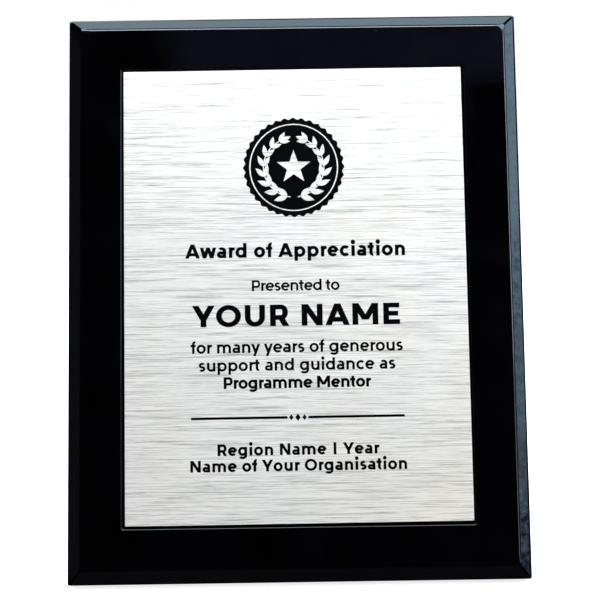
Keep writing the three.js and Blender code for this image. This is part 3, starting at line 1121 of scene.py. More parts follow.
@dataclass(frozen=True)
class Pen:
    """Makes the strokes of letters, in units of the capitals' height.

    Heights are measured from the baseline: small letters reach `small`, long stems
    reach `tall`, and tails reach down to `tail`. Level strokes are thinner than upright
    ones by the factor `contrast`. Arcs have a point about every `arc_step` degrees.
    """

    weight: float
    contrast: float = 0.86
    small: float = 0.76
    tall: float = 1.05
    tail: float = -0.29
    arc_step: float = 9.0
    least_radius: float = 0.01
    dot_sides: int = 20

    @property
    def half(self) -> float:
        """Half an upright stroke's width."""
        return self.weight / 2

    @property
    def thin(self) -> float:
        """Half a level stroke's width."""
        return self.half * self.contrast

    def bar(self, x0: float, y0: float, x1: float, y1: float, cut: Cut = Cut.SQUARE) -> np.ndarray:
        """Straight stroke. Its sides are the middle line moved by half the weight to each side.

        With level ends the sides move along x by half the weight over the sine of the slope.

        Args:
            x0: The start's place across.
            y0: The start's height.
            x1: The end's place across.
            y1: The end's height.
            cut: How the two ends are cut.

        Returns:
            The stroke's outline.
        """
        along = np.array([x1 - x0, y1 - y0], float)
        length = float(np.linalg.norm(along))
        if cut is Cut.LEVEL:
            side = np.array([-self.half * length / along[1], 0.0])
        else:
            side = np.array([-along[1] * self.half, along[0] * self.thin]) / length
        start, end = np.array([x0, y0]), np.array([x1, y1])
        return np.stack([start - side, end - side, end + side, start + side])

    def arc(self, x: float, y: float, rx: float, ry: float, start: float, end: float) -> np.ndarray:
        """Curved stroke: the band between two ellipses, half the weight inside and outside the middle one.

        Args:
            x: The centre's place across.
            y: The centre's height.
            rx: The middle ellipse's half width.
            ry: The middle ellipse's half height.
            start: The first angle in degrees.
            end: The last angle in degrees.

        Returns:
            The stroke's outline.
        """
        count = max(3, int(abs(end - start) / self.arc_step) + 1)
        angle = np.radians(np.linspace(start, end, count))
        ring = np.column_stack([np.cos(angle), np.sin(angle)])
        middle, width = np.array([x, y]), np.array([self.half, self.thin])
        outer = middle + ring * (np.array([rx, ry]) + width)
        inner = middle + ring * np.maximum(np.array([rx, ry]) - width, self.least_radius)
        return np.concatenate([outer, inner[::-1]])

    def oval(self, x: float, y: float, rx: float, ry: float) -> list[np.ndarray]:
        """Closed ring, made as two arcs that meet."""
        return [self.arc(x, y, rx, ry, -90, 90), self.arc(x, y, rx, ry, 90, 270)]

    def dot(self, x: float, y: float, radius: float) -> np.ndarray:
        """Filled circle."""
        angle = np.linspace(0, 2 * math.pi, self.dot_sides, endpoint=False)
        return np.array([x, y]) + radius * np.column_stack([np.cos(angle), np.sin(angle)])


class Alphabet:
    """A plain geometric alphabet, drawn with one pen."""

    SPACE = 0.42
    STRAIGHT_SIDE = 0.115
    ROUND_SIDE = 0.06
    SLANT_SIDE = 0.015
    OVERSHOOT = 0.012
    WIDENING = (0.94, 1.08)

    def __init__(self, weight: float) -> None:
        """Draws the letters for a pen of this weight.

        Args:
            weight: An upright stroke's width, in units of the capitals' height.
        """
        self.pen = Pen(weight)
        sets = (self._capitals(), self._round_small(), self._straight_small(), self._slanted_small())
        self.letters = {letter: glyph for chosen in sets for letter, glyph in chosen.items()}

    def _capitals(self) -> dict[str, Glyph]:
        """Capitals.

        Returns:
            The glyphs by letter.
        """
        pen, h, k = self.pen, self.pen.half, self.pen.thin
        bar, arc, s, r, d = pen.bar, pen.arc, self.STRAIGHT_SIDE, self.ROUND_SIDE, self.SLANT_SIDE
        waist, bowl = 0.40, 0.30
        turn = 0.82 - bowl

        def apex(width: float, foot: float, tip: float) -> list[np.ndarray]:
            """Two slanting strokes that meet in the middle, from height foot to height tip."""
            return [bar(h, foot, width / 2, tip, Cut.LEVEL), bar(width - h, foot, width / 2, tip, Cut.LEVEL)]

        head = [bar(h, 0, h, 1), bar(h, 1 - k, turn, 1 - k), bar(h, waist, turn, waist),
                arc(turn, (1 - k + waist) / 2, bowl - h, (1 - k - waist) / 2, -90, 90)]
        return {
            "A": (d, 1.10, d, [*apex(1.10, 0, 1), bar(0.24, 0.27, 0.86, 0.27)]),
            "E": (s, 0.76, d + 0.05, [bar(h, 0, h, 1), bar(h, k, 0.76, k), bar(h, 0.51, 0.68, 0.51),
                                      bar(h, 1 - k, 0.74, 1 - k)]),
            "M": (s, 1.18, s, [bar(h, 0, h, 1), bar(1.18 - h, 0, 1.18 - h, 1),
                               bar(h, 1, 0.59, 0.24, Cut.LEVEL),
                               bar(1.18 - h, 1, 0.59, 0.24, Cut.LEVEL)]),
            "N": (s, 0.96, s, [bar(h, 0, h, 1), bar(0.96 - h, 0, 0.96 - h, 1),
                               bar(h, 1, 0.96 - h, 0, Cut.LEVEL)]),
            "O": (r, 1.14, r, pen.oval(0.57, 0.5, 0.57 - h, 0.515 - k)),
            "P": (s, 0.82, r, head),
            "R": (s, 0.86, d + 0.03, [*head, bar(0.49, waist, 0.86 - h, 0, Cut.LEVEL)]),
            "U": (s, 0.92, s, [bar(h, 0.42, h, 1), bar(0.92 - h, 0.42, 0.92 - h, 1),
                               arc(0.46, 0.42, 0.46 - h, 0.43 - k, 180, 360)]),
            "Y": (d, 1.00, d, [*apex(1.00, 1, 0.34), bar(0.5, 0, 0.5, 0.42)]),
            "|": (0.22, 2 * h, 0.22, [bar(h, -0.02, h, 1.02)]),
        }

    def _round_small(self) -> dict[str, Glyph]:
        """Small letters built on a round bowl.

        Returns:
            The glyphs by letter.
        """
        pen, h, k, top = self.pen, self.pen.half, self.pen.thin, self.pen.small
        bar, arc, s, r = pen.bar, pen.arc, self.STRAIGHT_SIDE, self.ROUND_SIDE
        wide, mid = 0.84, top / 2
        rx, ry = wide / 2 - h, top / 2 - k + self.OVERSHOOT
        ring, stem = pen.oval(wide / 2, mid, rx, ry), wide - h
        eye, bend = 0.62 * top - k, 0.25
        belly = (eye - k) / 2
        curl = (top + 2 * self.OVERSHOOT - 2 * k) / 4
        return {
            "o": (r, wide, r, ring),
            "c": (r, 0.75, r * 0.6, [arc(wide / 2, mid, rx, ry, 46, 314)]),
            "e": (r, 0.82, r, [arc(wide / 2, mid, rx, ry, 0, 316), bar(h, mid, stem, mid)]),
            "d": (r, wide, s, [*ring, bar(stem, 0, stem, pen.tall)]),
            "p": (s, wide, r, [*ring, bar(h, pen.tail, h, top)]),
            "g": (r, wide, s, [*ring, bar(stem, 0.02, stem, top),
                               arc(wide / 2, 0.02, rx, 0.31 - k, 215, 360)]),
            "a": (r, 0.70, s * 0.9, [
                bar(0.70 - h, 0, 0.70 - h, top - bend),
                arc(0.37, top - bend, 0.33 - h, bend + self.OVERSHOOT - k, 0, 142),
                arc(0.25, k + belly, 0.25 - h, belly, 90, 270),
                bar(0.25, eye, 0.70 - h, eye), bar(0.25, k, 0.40, k),
                arc(0.40, k + belly, 0.30 - h, belly, 270, 360)]),
            "s": (r, 0.62, r, [arc(0.32, mid + curl, 0.30 - h, curl, 38, 270),
                               arc(0.30, mid - curl, 0.31 - h, curl, -142, 90)]),
        }

    def _straight_small(self) -> dict[str, Glyph]:
        """Small letters built on straight stems.

        Returns:
            The glyphs by letter.
        """
        pen, h, k, top = self.pen, self.pen.half, self.pen.thin, self.pen.small
        bar, arc, s, d = pen.bar, pen.arc, self.STRAIGHT_SIDE, self.SLANT_SIDE
        rise, wide = 0.32, 0.76
        spring, swell = top - rise, rise + self.OVERSHOOT - k

        def arch(left: float, right: float) -> list[np.ndarray]:
            """An arch from the stem at left to a new stem at right."""
            middle, reach = (left + right) / 2, (right - left) / 2
            return [arc(middle, spring, reach, swell, 0, 180), bar(right, 0, right, spring)]

        return {
            "i": (s, 2 * h, s, [bar(h, 0, h, top), pen.dot(h, pen.tall - 0.05, 0.60 * pen.weight + 0.015)]),
            "m": (s, 1.26, s, [bar(h, 0, h, top), *arch(h, 0.63), *arch(0.63, 1.26 - h)]),
            "n": (s, wide, s, [bar(h, 0, h, top), *arch(h, wide - h)]),
            "r": (s, 0.44, d, [bar(h, 0, h, top), arc(0.46, spring, 0.46 - h, rise - k, 92, 180)]),
            "u": (s, wide, s, [bar(h, rise, h, top), bar(wide - h, 0, wide - h, top),
                               arc(wide / 2, rise, wide / 2 - h, swell, 180, 360)]),
            "f": (d, 0.52, d, [bar(0.14 + h, 0, 0.14 + h, 0.80), bar(0, top - k, 0.48, top - k),
                               arc(0.42, 0.80, 0.28 - h, 0.27 - k, 78, 180)]),
            "t": (d, 0.52, d + 0.02, [bar(0.13 + h, 0.25, 0.13 + h, 0.95), bar(0, top - k, 0.48, top - k),
                                      arc(0.39, 0.25, 0.26 - h, 0.26 - k, 180, 286)]),
        }

    def _slanted_small(self) -> dict[str, Glyph]:
        """Small letters built on slanting strokes.

        Returns:
            The glyphs by letter.
        """
        pen, h, top, d = self.pen, self.pen.half, self.pen.small, self.SLANT_SIDE
        bar, level = pen.bar, Cut.LEVEL
        return {
            "w": (d, 1.22, d, [bar(h, top, 0.34, 0, level), bar(0.34, 0, 0.61, top, level),
                               bar(0.61, top, 0.88, 0, level), bar(1.22 - h, top, 0.88, 0, level)]),
            "y": (d, 0.80, d, [bar(h, top, 0.40, 0.02, level), bar(0.80 - h, top, 0.27, pen.tail, level)]),
        }

    def line(self, words: str, height: float, width: float) -> list[np.ndarray]:
        """Sets a line of words, centred on x and with its capitals centred on y.

        Args:
            words: The words.
            height: The capitals' height.
            width: The line's width. The letters are widened or narrowed a little to reach it,
                and their spacing takes up the rest.

        Returns:
            The strokes' outlines.
        """
        glyphs = [self.letters.get(letter, (0.0, self.SPACE, 0.0, [])) for letter in words]
        sizes = np.array([glyph[:3] for glyph in glyphs])
        natural = sizes.sum() - sizes[0, 0] - sizes[-1, 2]
        wanted = width / height
        widen = float(np.clip(wanted / natural, *self.WIDENING))
        spare = (wanted - natural * widen) / (len(words) - 1)
        starts = (np.cumsum(sizes.sum(1)) - sizes[:, 1:].sum(1) - sizes[0, 0]) * widen
        LOG.info("line %r is set %.2f wide with %.3f between letters", words, widen, spare)
        outlines = []
        for step, (start, glyph) in enumerate(zip(starts, glyphs)):
            shift = np.array([start + step * spare - wanted / 2, -0.5])
            outlines += [(stroke * (widen, 1.0) + shift) * height for stroke in glyph[3]]
        return outlines


# --------------------------------------------------------------------------- printing


@dataclass(frozen=True)
class Seal:
    """Dark seal with a scalloped rim, out of which a ring, a laurel and a star are left bare."""

    centre: float = 56.6
    radius: float = 22.3
    scallops: int = 36
    scallop_depth: float = 0.45
    scallop_points: int = 8
    ring_radius: float = 19.7
    ring_width: float = 0.55
    laurel_radius: float = 13.6
    pairs: int = 8
    leaf_length: float = 6.3
    leaf_width: float = 2.5
    leaf_fullness: float = 0.8
    leaf_points: int = 13
    leaf_spread: float = 0.52
    leaf_shrink: float = 0.03
    tip_leaf: tuple[float, float] = (-0.1, 0.9)
    stem_width: float = 0.45
    foot_angle: float = 257.0
    foot_length: float = 6.0
    tip_angle: float = 118.0
    star_radius: float = 7.9
    star_waist: float = 0.40
    star_points: int = 5

    def filled(self) -> list[np.ndarray]:
        """The inked disc: its radius waves in and out once for each scallop.

        Returns:
            Its outline.
        """
        angle = np.linspace(0, 2 * math.pi, self.scallop_points * self.scallops, endpoint=False)
        reach = self.radius + self.scallop_depth * np.cos(self.scallops * angle)
        return [self._centred(reach[:, None] * np.column_stack([np.cos(angle), np.sin(angle)]))]

    def bare(self) -> list[np.ndarray]:
        """What is left out of the disc: the ring in two halves, the star and both laurel sprays.

        Returns:
            Their outlines.
        """
        pen = Pen(self.ring_width)
        ring = pen.oval(0, 0, self.ring_radius, self.ring_radius)
        spray = self._spray()
        mirrored = [shape[::-1] * (-1, 1) for shape in spray]
        return [self._centred(shape) for shape in [*ring, self._star(), *spray, *mirrored]]

    def _centred(self, shape: np.ndarray) -> np.ndarray:
        """The shape moved to the emblem's place on the plate."""
        return shape + (0.0, self.centre)

    def _leaf(self, root: np.ndarray, angle: float, size: float) -> np.ndarray:
        """Leaf from its root along angle, whose half width goes as sin(pi t ** leaf_fullness).

        Args:
            root: The leaf's foot.
            angle: The leaf's direction in radians.
            size: Its size, where 1 is a full leaf.

        Returns:
            The leaf's outline.
        """
        t = np.linspace(0, 1, self.leaf_points)
        half = self.leaf_width / 2 * size * np.sin(math.pi * t ** self.leaf_fullness)
        along = t * self.leaf_length * size
        outline = np.concatenate([np.column_stack([along[1:-1], -half[1:-1]]),
                                  np.column_stack([along, half])[::-1]])
        return root + turned(outline, angle)

    def _spray(self) -> list[np.ndarray]:
        """Left-hand spray: pairs of leaves on a stem that bends round the star, and one at its tip.

        Returns:
            The outlines.
        """
        angles = np.radians(np.linspace(self.foot_angle, self.tip_angle, self.pairs))
        roots = self.laurel_radius * np.column_stack([np.cos(angles), np.sin(angles)])
        shapes = [Pen(self.stem_width).arc(0, 0, self.laurel_radius, self.laurel_radius, self.tip_angle,
                                           self.foot_angle + self.foot_length)]
        for number, (root, angle) in enumerate(zip(roots, angles)):
            size = 1.0 - self.leaf_shrink * number
            for spread in (self.leaf_spread, -self.leaf_spread):
                shapes.append(self._leaf(root, angle - math.pi / 2 + spread, size))
        lean, size = self.tip_leaf
        shapes.append(self._leaf(roots[-1], angles[-1] - math.pi / 2 + lean, size))
        return shapes

    def _star(self) -> np.ndarray:
        """Star with its first tip upright: every second corner is nearer the middle.

        Returns:
            The star's outline.
        """
        number = np.arange(2 * self.star_points)
        angle = math.pi / 2 + number * math.pi / self.star_points
        reach = self.star_radius * np.where(number % 2 == 0, 1.0, self.star_waist)
        return reach[:, None] * np.column_stack([np.cos(angle), np.sin(angle)])


@dataclass(frozen=True)
class PrintedLine:
    """One line of print: its words, height on the plate, capitals' height, width and weight."""

    name: str
    words: str
    middle: float
    capital: float
    width: float
    weight: float


@dataclass(frozen=True)
class Printing:
    """All the ink on the plate, as thin solids that stand on it."""

    ink_depth: float = 0.03
    rule_height: float = -55.3
    rule_half_width: float = 47.0
    rule_thickness: float = 1.30
    rule_gap: float = 4.6
    diamond_height: float = 1.45
    diamonds: tuple[tuple[float, float], ...] = ((0.0, 1.15), (-2.9, 0.92), (2.9, 0.92))
    lines: tuple[PrintedLine, ...] = (
        PrintedLine("title", "Award of Appreciation", 19.1, 6.3, 98.0, 0.262),
        PrintedLine("presented", "Presented to", 3.3, 4.9, 39.0, 0.215),
        PrintedLine("recipient", "YOUR NAME", -10.1, 9.6, 92.0, 0.262),
        PrintedLine("reason_upper", "for many years of generous", -24.0, 5.2, 94.0, 0.225),
        PrintedLine("reason_lower", "support and guidance as", -32.0, 5.2, 87.0, 0.225),
        PrintedLine("role", "Programme Mentor", -39.8, 5.2, 65.0, 0.255),
        PrintedLine("department", "Region Name | Year", -69.2, 5.1, 71.0, 0.255),
        PrintedLine("organisation", "Name of Your Organisation", -76.2, 5.1, 95.0, 0.255),
    )

    def build(self, bench: Bench, ink: Material) -> None:
        """Prints the emblem, the rule and the lines of words.

        Args:
            bench: What the pieces are fitted to.
            ink: The ink's material.
        """
        seal = Seal()
        self._print(bench, ink, "print_emblem", seal.filled(), seal.bare())
        self._print(bench, ink, "print_rule", self._rule())
        for line in self.lines:
            strokes = Alphabet(line.weight).line(line.words, line.capital, line.width)
            lifted = [stroke + (0.0, line.middle) for stroke in strokes]
            self._print(bench, ink, f"print_{line.name}", lifted)

    def _rule(self) -> list[np.ndarray]:
        """Level rule, broken in the middle by a diamond between two smaller ones.

        Returns:
            The rule's outlines.
        """
        pen, height, end = Pen(self.rule_thickness), self.rule_height, self.rule_half_width
        bars = [pen.bar(-end, height, -self.rule_gap, height), pen.bar(self.rule_gap, height, end, height)]
        diamond = np.array([[1, 0], [0, self.diamond_height], [-1, 0], [0, -self.diamond_height]])
        return bars + [diamond * size + (x, height) for x, size in self.diamonds]

    def _print(self, bench: Bench, ink: Material, name: str, filled: Sequence[np.ndarray],
               bare: Sequence[np.ndarray] = ()) -> None:
        """Joins overlapping outlines and gives them the ink's depth.

        The outlines are triangulated together. A triangle is kept if it lies in a filled
        outline and in no bare one, and an edge that only one kept triangle uses gets a wall.

        Args:
            bench: What the pieces are fitted to.
            ink: The ink's material.
            name: The piece's name.
            filled: The outlines that are inked.
            bare: The outlines that are left out of them.
        """
        outlines = [*filled, *bare]
        sizes = np.array([len(outline) for outline in outlines])
        starts = np.cumsum(sizes) - sizes
        rings = [list(range(start, start + size)) for start, size in zip(starts, sizes)]
        corners = [Vector(point) for point in np.concatenate(outlines)]
        flat, _, faces, _, _, owners = geometry.delaunay_2d_cdt(corners, [], rings, 1, 1e-6)
        top = np.array([face for face, owner in zip(faces, owners) if owner and max(owner) < len(filled)])
        edges = np.stack([top, np.roll(top, -1, axis=1)], axis=-1).reshape(-1, 2)
        border = edges[~np.isin(edges @ (len(flat), 1), edges @ (1, len(flat)))]
        points = turned(np.array([tuple(point) for point in flat]), math.radians(PLATE_TURN))
        count = len(points)
        levels = np.concatenate([np.column_stack([points, np.full(count, level)])
                                 for level in (self.ink_depth, -self.ink_depth)])
        walls = np.column_stack([border[:, 1], border[:, 0], border[:, 0] + count, border[:, 1] + count])
        used = np.unique(np.concatenate([top.ravel(), top.ravel() + count]))
        number = np.zeros(2 * count, int)
        number[used] = np.arange(len(used))
        shown = [tuple(face) for part in (top, top[:, ::-1] + count, walls) for face in number[part]]
        piece = make_piece(name, bench.face.place(levels[used]), shown, False)
        bench.fit(piece, ink, "plaque", "plate_print")


# --------------------------------------------------------------------------- board and plate


@dataclass(frozen=True)
class Board:
    """Lacquered board: bevelled front edge, rounded arrises and a pocket for the plate.

    The lacquer draws back from the corners, so the face's own corners are rounder than
    those of the bevel. The bevel is a little wider at the left and at the bottom.
    """

    bevel_width: float = 5.6
    bevel_depth: float = 3.5
    bevel_excess: tuple[float, float] = (0.5, 0.7)
    face_arris: float = 2.5
    side_arris: float = 2.4
    back_arris: float = 2.0
    arris_steps: tuple[int, int, int, int] = (3, 6, 9, 5)
    corner: float = 1.0
    face_corner: float = 5.6
    pocket_margin: float = 0.9
    pocket_depth: float = 2.2
    pocket_arris: float = 0.50
    pocket_corner: float = 0.9
    # How near a face's slope must be to the right bevel's for it to carry the painted reflection.
    reflection_slope_tolerance: float = 0.06

    def build(self, bench: Bench, lacquer: Material) -> None:
        """Makes the board in place of its CAD node.

        The section runs from the back face round the back arris, up the side, over the
        bevel and the face, and down into the pocket. Each of its points becomes a
        rounded rectangle, and the rectangles are joined into one closed skin. The faces
        that slope like the right bevel are marked to carry a painted reflection.

        Args:
            bench: What the pieces are fitted to.
            lacquer: The board's material.
        """
        low, high = bench.face.extent(bench.nodes["board"])
        plate_low, plate_high = bench.face.extent(bench.nodes["name_plate"])
        middle = (low + high) / 2
        half_width, half_height = (high - low)[:2] / 2
        back, front = low[2], high[2]
        foot = front - self.bevel_depth
        pocket = half_width - (plate_high - plate_low)[0] / 2 - self.pocket_margin
        bevel, outer, inner = self.bevel_width, self.corner, self.pocket_corner
        back_steps, side_steps, face_steps, pocket_steps = self.arris_steps
        parts = (
            (fillet((0, back), (half_width, back), (0, foot), self.back_arris, back_steps), outer, outer),
            (fillet((0, foot), (0, back), (bevel, front), self.side_arris, side_steps), outer, outer),
            (fillet((bevel, front), (0, foot), (half_width, front), self.face_arris, face_steps), outer,
             self.face_corner),
            (fillet((pocket, front), (0, front), (pocket, back), self.pocket_arris, pocket_steps), inner,
             inner),
            (np.array([[pocket, front - self.pocket_depth]]), inner, inner),
        )
        section = np.concatenate([np.column_stack([points, np.linspace(first, last, len(points))])
                                  for points, first, last in parts])
        rings = stacked_rings(half_width, half_height, section)
        start = sum(len(points) for points, _, _ in parts[:2])
        edge = rings[start:start + len(parts[2][0]), :, :2]
        edge += self.bevel_excess * (edge < 0)
        rings[..., :2] += middle[:2]
        board = bench.cast("lacquered_board", rings, bench.face, lacquer, "plaque", "lacquered_board",
                           "board")
        # The right bevel's faces are marked for the lacquer's painted reflection in teal and violet.
        slope = np.zeros(3 * len(board.data.polygons))
        board.data.polygons.foreach_get("normal", slope)
        bevel_slope = self.bevel_depth / math.hypot(self.bevel_width, self.bevel_depth)
        painted_reflection_bevel = np.abs(slope[::3] - bevel_slope) < self.reflection_slope_tolerance
        painted_reflection_mark = board.data.attributes.new("painted_reflection_bevel", "FLOAT", "FACE")
        painted_reflection_mark.data.foreach_set("value", painted_reflection_bevel.astype(np.float32))


@dataclass(frozen=True)
class NamePlate:
    """Engraving sheet with a lightly broken edge, and the foam tape that holds it."""

    edge: float = 0.16
    edge_steps: int = 4
    corner: float = 0.4
    thickness: float = 1.0
    size: tuple[float, float] = (152.4, 203.2)

    def build(self, bench: Bench, aluminium: Material, foam: Material) -> None:
        """Makes the plate from rounded rectangles, turned about its middle, and dresses the tape.

        Args:
            bench: What the pieces are fitted to.
            aluminium: The plate's material.
            foam: The tape's material.
        """
        low, high = bench.face.extent(bench.nodes["name_plate"])
        width, height = self.size
        edge = fillet((0, high[2]), (0, low[2]), (width, high[2]), self.edge, self.edge_steps)
        rows = [(inset, w, self.corner) for inset, w in [(0.0, high[2] - self.thickness), *edge]]
        rings = stacked_rings(width / 2, height / 2, np.array(rows))
        rings[..., :2] = turned(rings[..., :2], math.radians(PLATE_TURN)) + ((low + high) / 2)[:2]
        bench.cast("brushed_plate", rings, bench.face, aluminium, "plaque", "plate_aluminium", "name_plate")
        for name in sorted(bench.nodes):
            if name.startswith("plate_tape"):
                bench.dress(name, foam)


# --------------------------------------------------------------------------- back of the board


@dataclass(frozen=True)
class BackLiner:
    """Felt sheet glued to the back, with windows for the hinge and both hangers."""

    width: float = 187.2
    length: float = 238.0
    edge: float = 0.28
    straight: float = 0.99

    def build(self, bench: Bench, felt: Material) -> None:
        """Its cut area is the area of the faces that look straight out of the back.

        Args:
            bench: What the pieces are fitted to.
            felt: The felt's material.
        """
        sheet = bench.ease("back_liner", "felt_liner", self.edge, felt, "plaque", "back_felt")
        normals = np.array([face.normal for face in sheet.data.polygons])
        areas = np.array([face.area for face in sheet.data.polygons])
        area = float(areas[normals @ bench.back.axes[2] > self.straight].sum())


@dataclass(frozen=True)
class Bumpers:
    """Four soft domes that keep the board off the wall."""

    radius: float = 6.35
    top_radius: float = 5.0
    foot: float = 1.2
    break_width: float = 0.2
    easing: float = 0.9
    easing_steps: int = 6
    flat_radius: float = 1.5
    sides: int = 48

    def build(self, bench: Bench, rubber: Material) -> None:
        """Turns each bumper: a short straight foot, a sloping side and a rounded, flat top.

        Args:
            bench: What the pieces are fitted to.
            rubber: The rubber's material.
        """
        for node in sorted(bench.nodes):
            if node.startswith("bumper"):
                low, high = bench.back.extent(bench.nodes[node])
                foot = (self.radius, low[2] + self.foot)
                shoulder = fillet((self.top_radius, high[2]), foot, (0, high[2]), self.easing,
                                  self.easing_steps)
                profile = [(self.radius - self.break_width, low[2]),
                           (self.radius, low[2] + self.break_width), foot, *shoulder,
                           (self.flat_radius, high[2])]
                rings = turned_rings(((low + high) / 2)[:2], profile, self.sides)
                bench.cast(f"rubber_{node}", rings, bench.back, rubber, "plaque", "bumper_rubber", node)


@dataclass(frozen=True)
class Hangers:
    """Two sawtooth hangers, each held by a pair of domed nails."""

    edge: float = 0.14
    head_radius: float = 1.9
    head_height: float = 0.7
    head_rim: float = 0.18
    head_break: tuple[float, float] = (0.12, 0.1)
    dome_sweep: float = 0.93
    dome_points: int = 7
    sides: int = 32
    shank_radius: float = 0.6
    point: float = 1.4
    tip_radius: float = 0.05

    def build(self, bench: Bench, brass: Material) -> None:
        """Makes the stamped strips as eased copies, and turns the nails.

        Args:
            bench: What the pieces are fitted to.
            brass: The hangers' material.
        """
        for node in ("hanger_portrait", "hanger_landscape"):
            bench.ease(node, f"sawtooth_{node}", self.edge, brass, "plaque", "hanger_brass")
            for nail in (f"{node}_nail_a", f"{node}_nail_b"):
                self._nail(bench, brass, nail)

    def _nail(self, bench: Bench, brass: Material, node: str) -> None:
        """Turns a nail. Its head is a shallow dome: its height falls as the square of the radius.

        Args:
            bench: What the pieces are fitted to.
            brass: The hangers' material.
            node: The nail's CAD node.
        """
        low, high = bench.back.extent(bench.nodes[node])
        seat = high[2] - self.head_height
        share = np.cos(np.linspace(0, math.pi / 2 * self.dome_sweep, self.dome_points))
        rise = self.head_height - self.head_rim
        dome = [(self.head_radius * s, seat + self.head_rim + rise * (1 - s ** 2)) for s in share]
        inset, up = self.head_break
        profile = [(self.tip_radius, low[2]), (self.shank_radius, low[2] + self.point),
                   (self.shank_radius, seat), (self.head_radius - inset, seat),
                   (self.head_radius, seat + up), *dome]
        rings = turned_rings(((low + high) / 2)[:2], profile, self.sides)
        bench.cast(f"domed_{node}", rings, bench.back, brass, "plaque", "hanger_brass", node)


@dataclass(frozen=True)
class Hinge:
    """Butt hinge: a leaf screwed to the board, a leaf riveted to the strut, and the pin through both."""

    edge: float = 0.22
    pin_radius: float = 1.0
    pin_dome: float = 0.45
    pin_sweep: float = 0.1
    pin_points: int = 6
    pin_sides: int = 32
    screw_radius: float = 2.7
    screw_height: float = 1.5
    screw_rim: float = 0.3
    screw_break: float = 0.15
    screw_sweep: float = 0.02
    screw_points: int = 26
    screw_sides: int = 96
    screw_shank: float = 1.4
    screw_point: float = 2.4
    tip_radius: float = 0.1
    recess_reach: float = 1.35
    recess_half_width: float = 0.30
    recess_depth: float = 0.85
    recess_slope: float = 0.12

    def build(self, bench: Bench, nickel: Material) -> None:
        """Makes both leaves, the pin and the two screws.

        Args:
            bench: What the pieces are fitted to.
            nickel: The hinge's material.
        """
        for name, body in (("board_leaf", "plaque"), ("strut_leaf", "strut")):
            bench.ease(f"hinge_{name}", name, self.edge, nickel, body, "hinge_steel")
        self._pin(bench, nickel)
        for side in ("left", "right"):
            self._screw(bench, nickel, side)

    def _pin(self, bench: Bench, nickel: Material) -> None:
        """Turns the pin along x, with peened ends whose section is a quarter of an ellipse.

        Args:
            bench: What the pieces are fitted to.
            nickel: The hinge's material.
        """
        low, high = (np.array(corner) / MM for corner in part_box("hinge_pin"))
        angle = np.linspace(self.pin_sweep, math.pi / 2, self.pin_points)
        end = np.column_stack([self.pin_radius * np.sin(angle), self.pin_dome * (1 - np.cos(angle))])
        x = np.concatenate([low[0] + end[:, 1], high[0] - end[::-1, 1]])
        radius = np.concatenate([end[:, 0], end[::-1, 0]])
        turn = np.linspace(0, 2 * math.pi, self.pin_sides, endpoint=False)
        middle = (low + high) / 2
        rings = np.stack([
            np.broadcast_to(x[:, None], (len(x), len(turn))),
            middle[1] + radius[:, None] * np.cos(turn),
            middle[2] + radius[:, None] * np.sin(turn),
        ], axis=-1)
        pin = make_piece("peened_pin", rings.reshape(-1, 3) * MM, skin(rings))
        bench.fit(pin, nickel, "plaque", "hinge_steel", "hinge_pin")

    def _screw(self, bench: Bench, nickel: Material, side: str) -> None:
        """Turns a pan-head screw and presses a cross into its head.

        The cross is where the larger of |u| and |v| is within the recess's reach and the
        smaller is within its half width. Its floor is a fixed depth below the dome.

        Args:
            bench: What the pieces are fitted to.
            nickel: The hinge's material.
            side: Which screw it is, left or right.
        """
        node = f"hinge_screw_{side}"
        low, high = bench.back.extent(bench.nodes[node])
        centre, seat = ((low + high) / 2)[:2], high[2] - self.screw_height
        share = np.sin(np.linspace(math.pi / 2, self.screw_sweep, self.screw_points))
        rise = self.screw_height - self.screw_rim
        dome = [(self.screw_radius * s, seat + self.screw_rim + rise * math.sqrt(1 - s * s)) for s in share]
        shank = [(self.tip_radius, low[2]), (self.screw_shank, low[2] + self.screw_point),
                 (self.screw_shank, seat), (self.screw_radius - self.screw_break, seat)]
        rings = turned_rings(centre, [*shank, *dome], self.screw_sides)
        head = rings[len(shank):]
        across = np.sort(np.abs(head[..., :2] - centre), axis=-1)
        outside = np.maximum(across[..., 0] - self.recess_half_width, across[..., 1] - self.recess_reach)
        head[..., 2] -= self.recess_depth * np.clip(-outside / self.recess_slope, 0, 1)
        bench.cast(f"cross_head_{node}", rings, bench.back, nickel, "plaque", "hinge_steel", node)


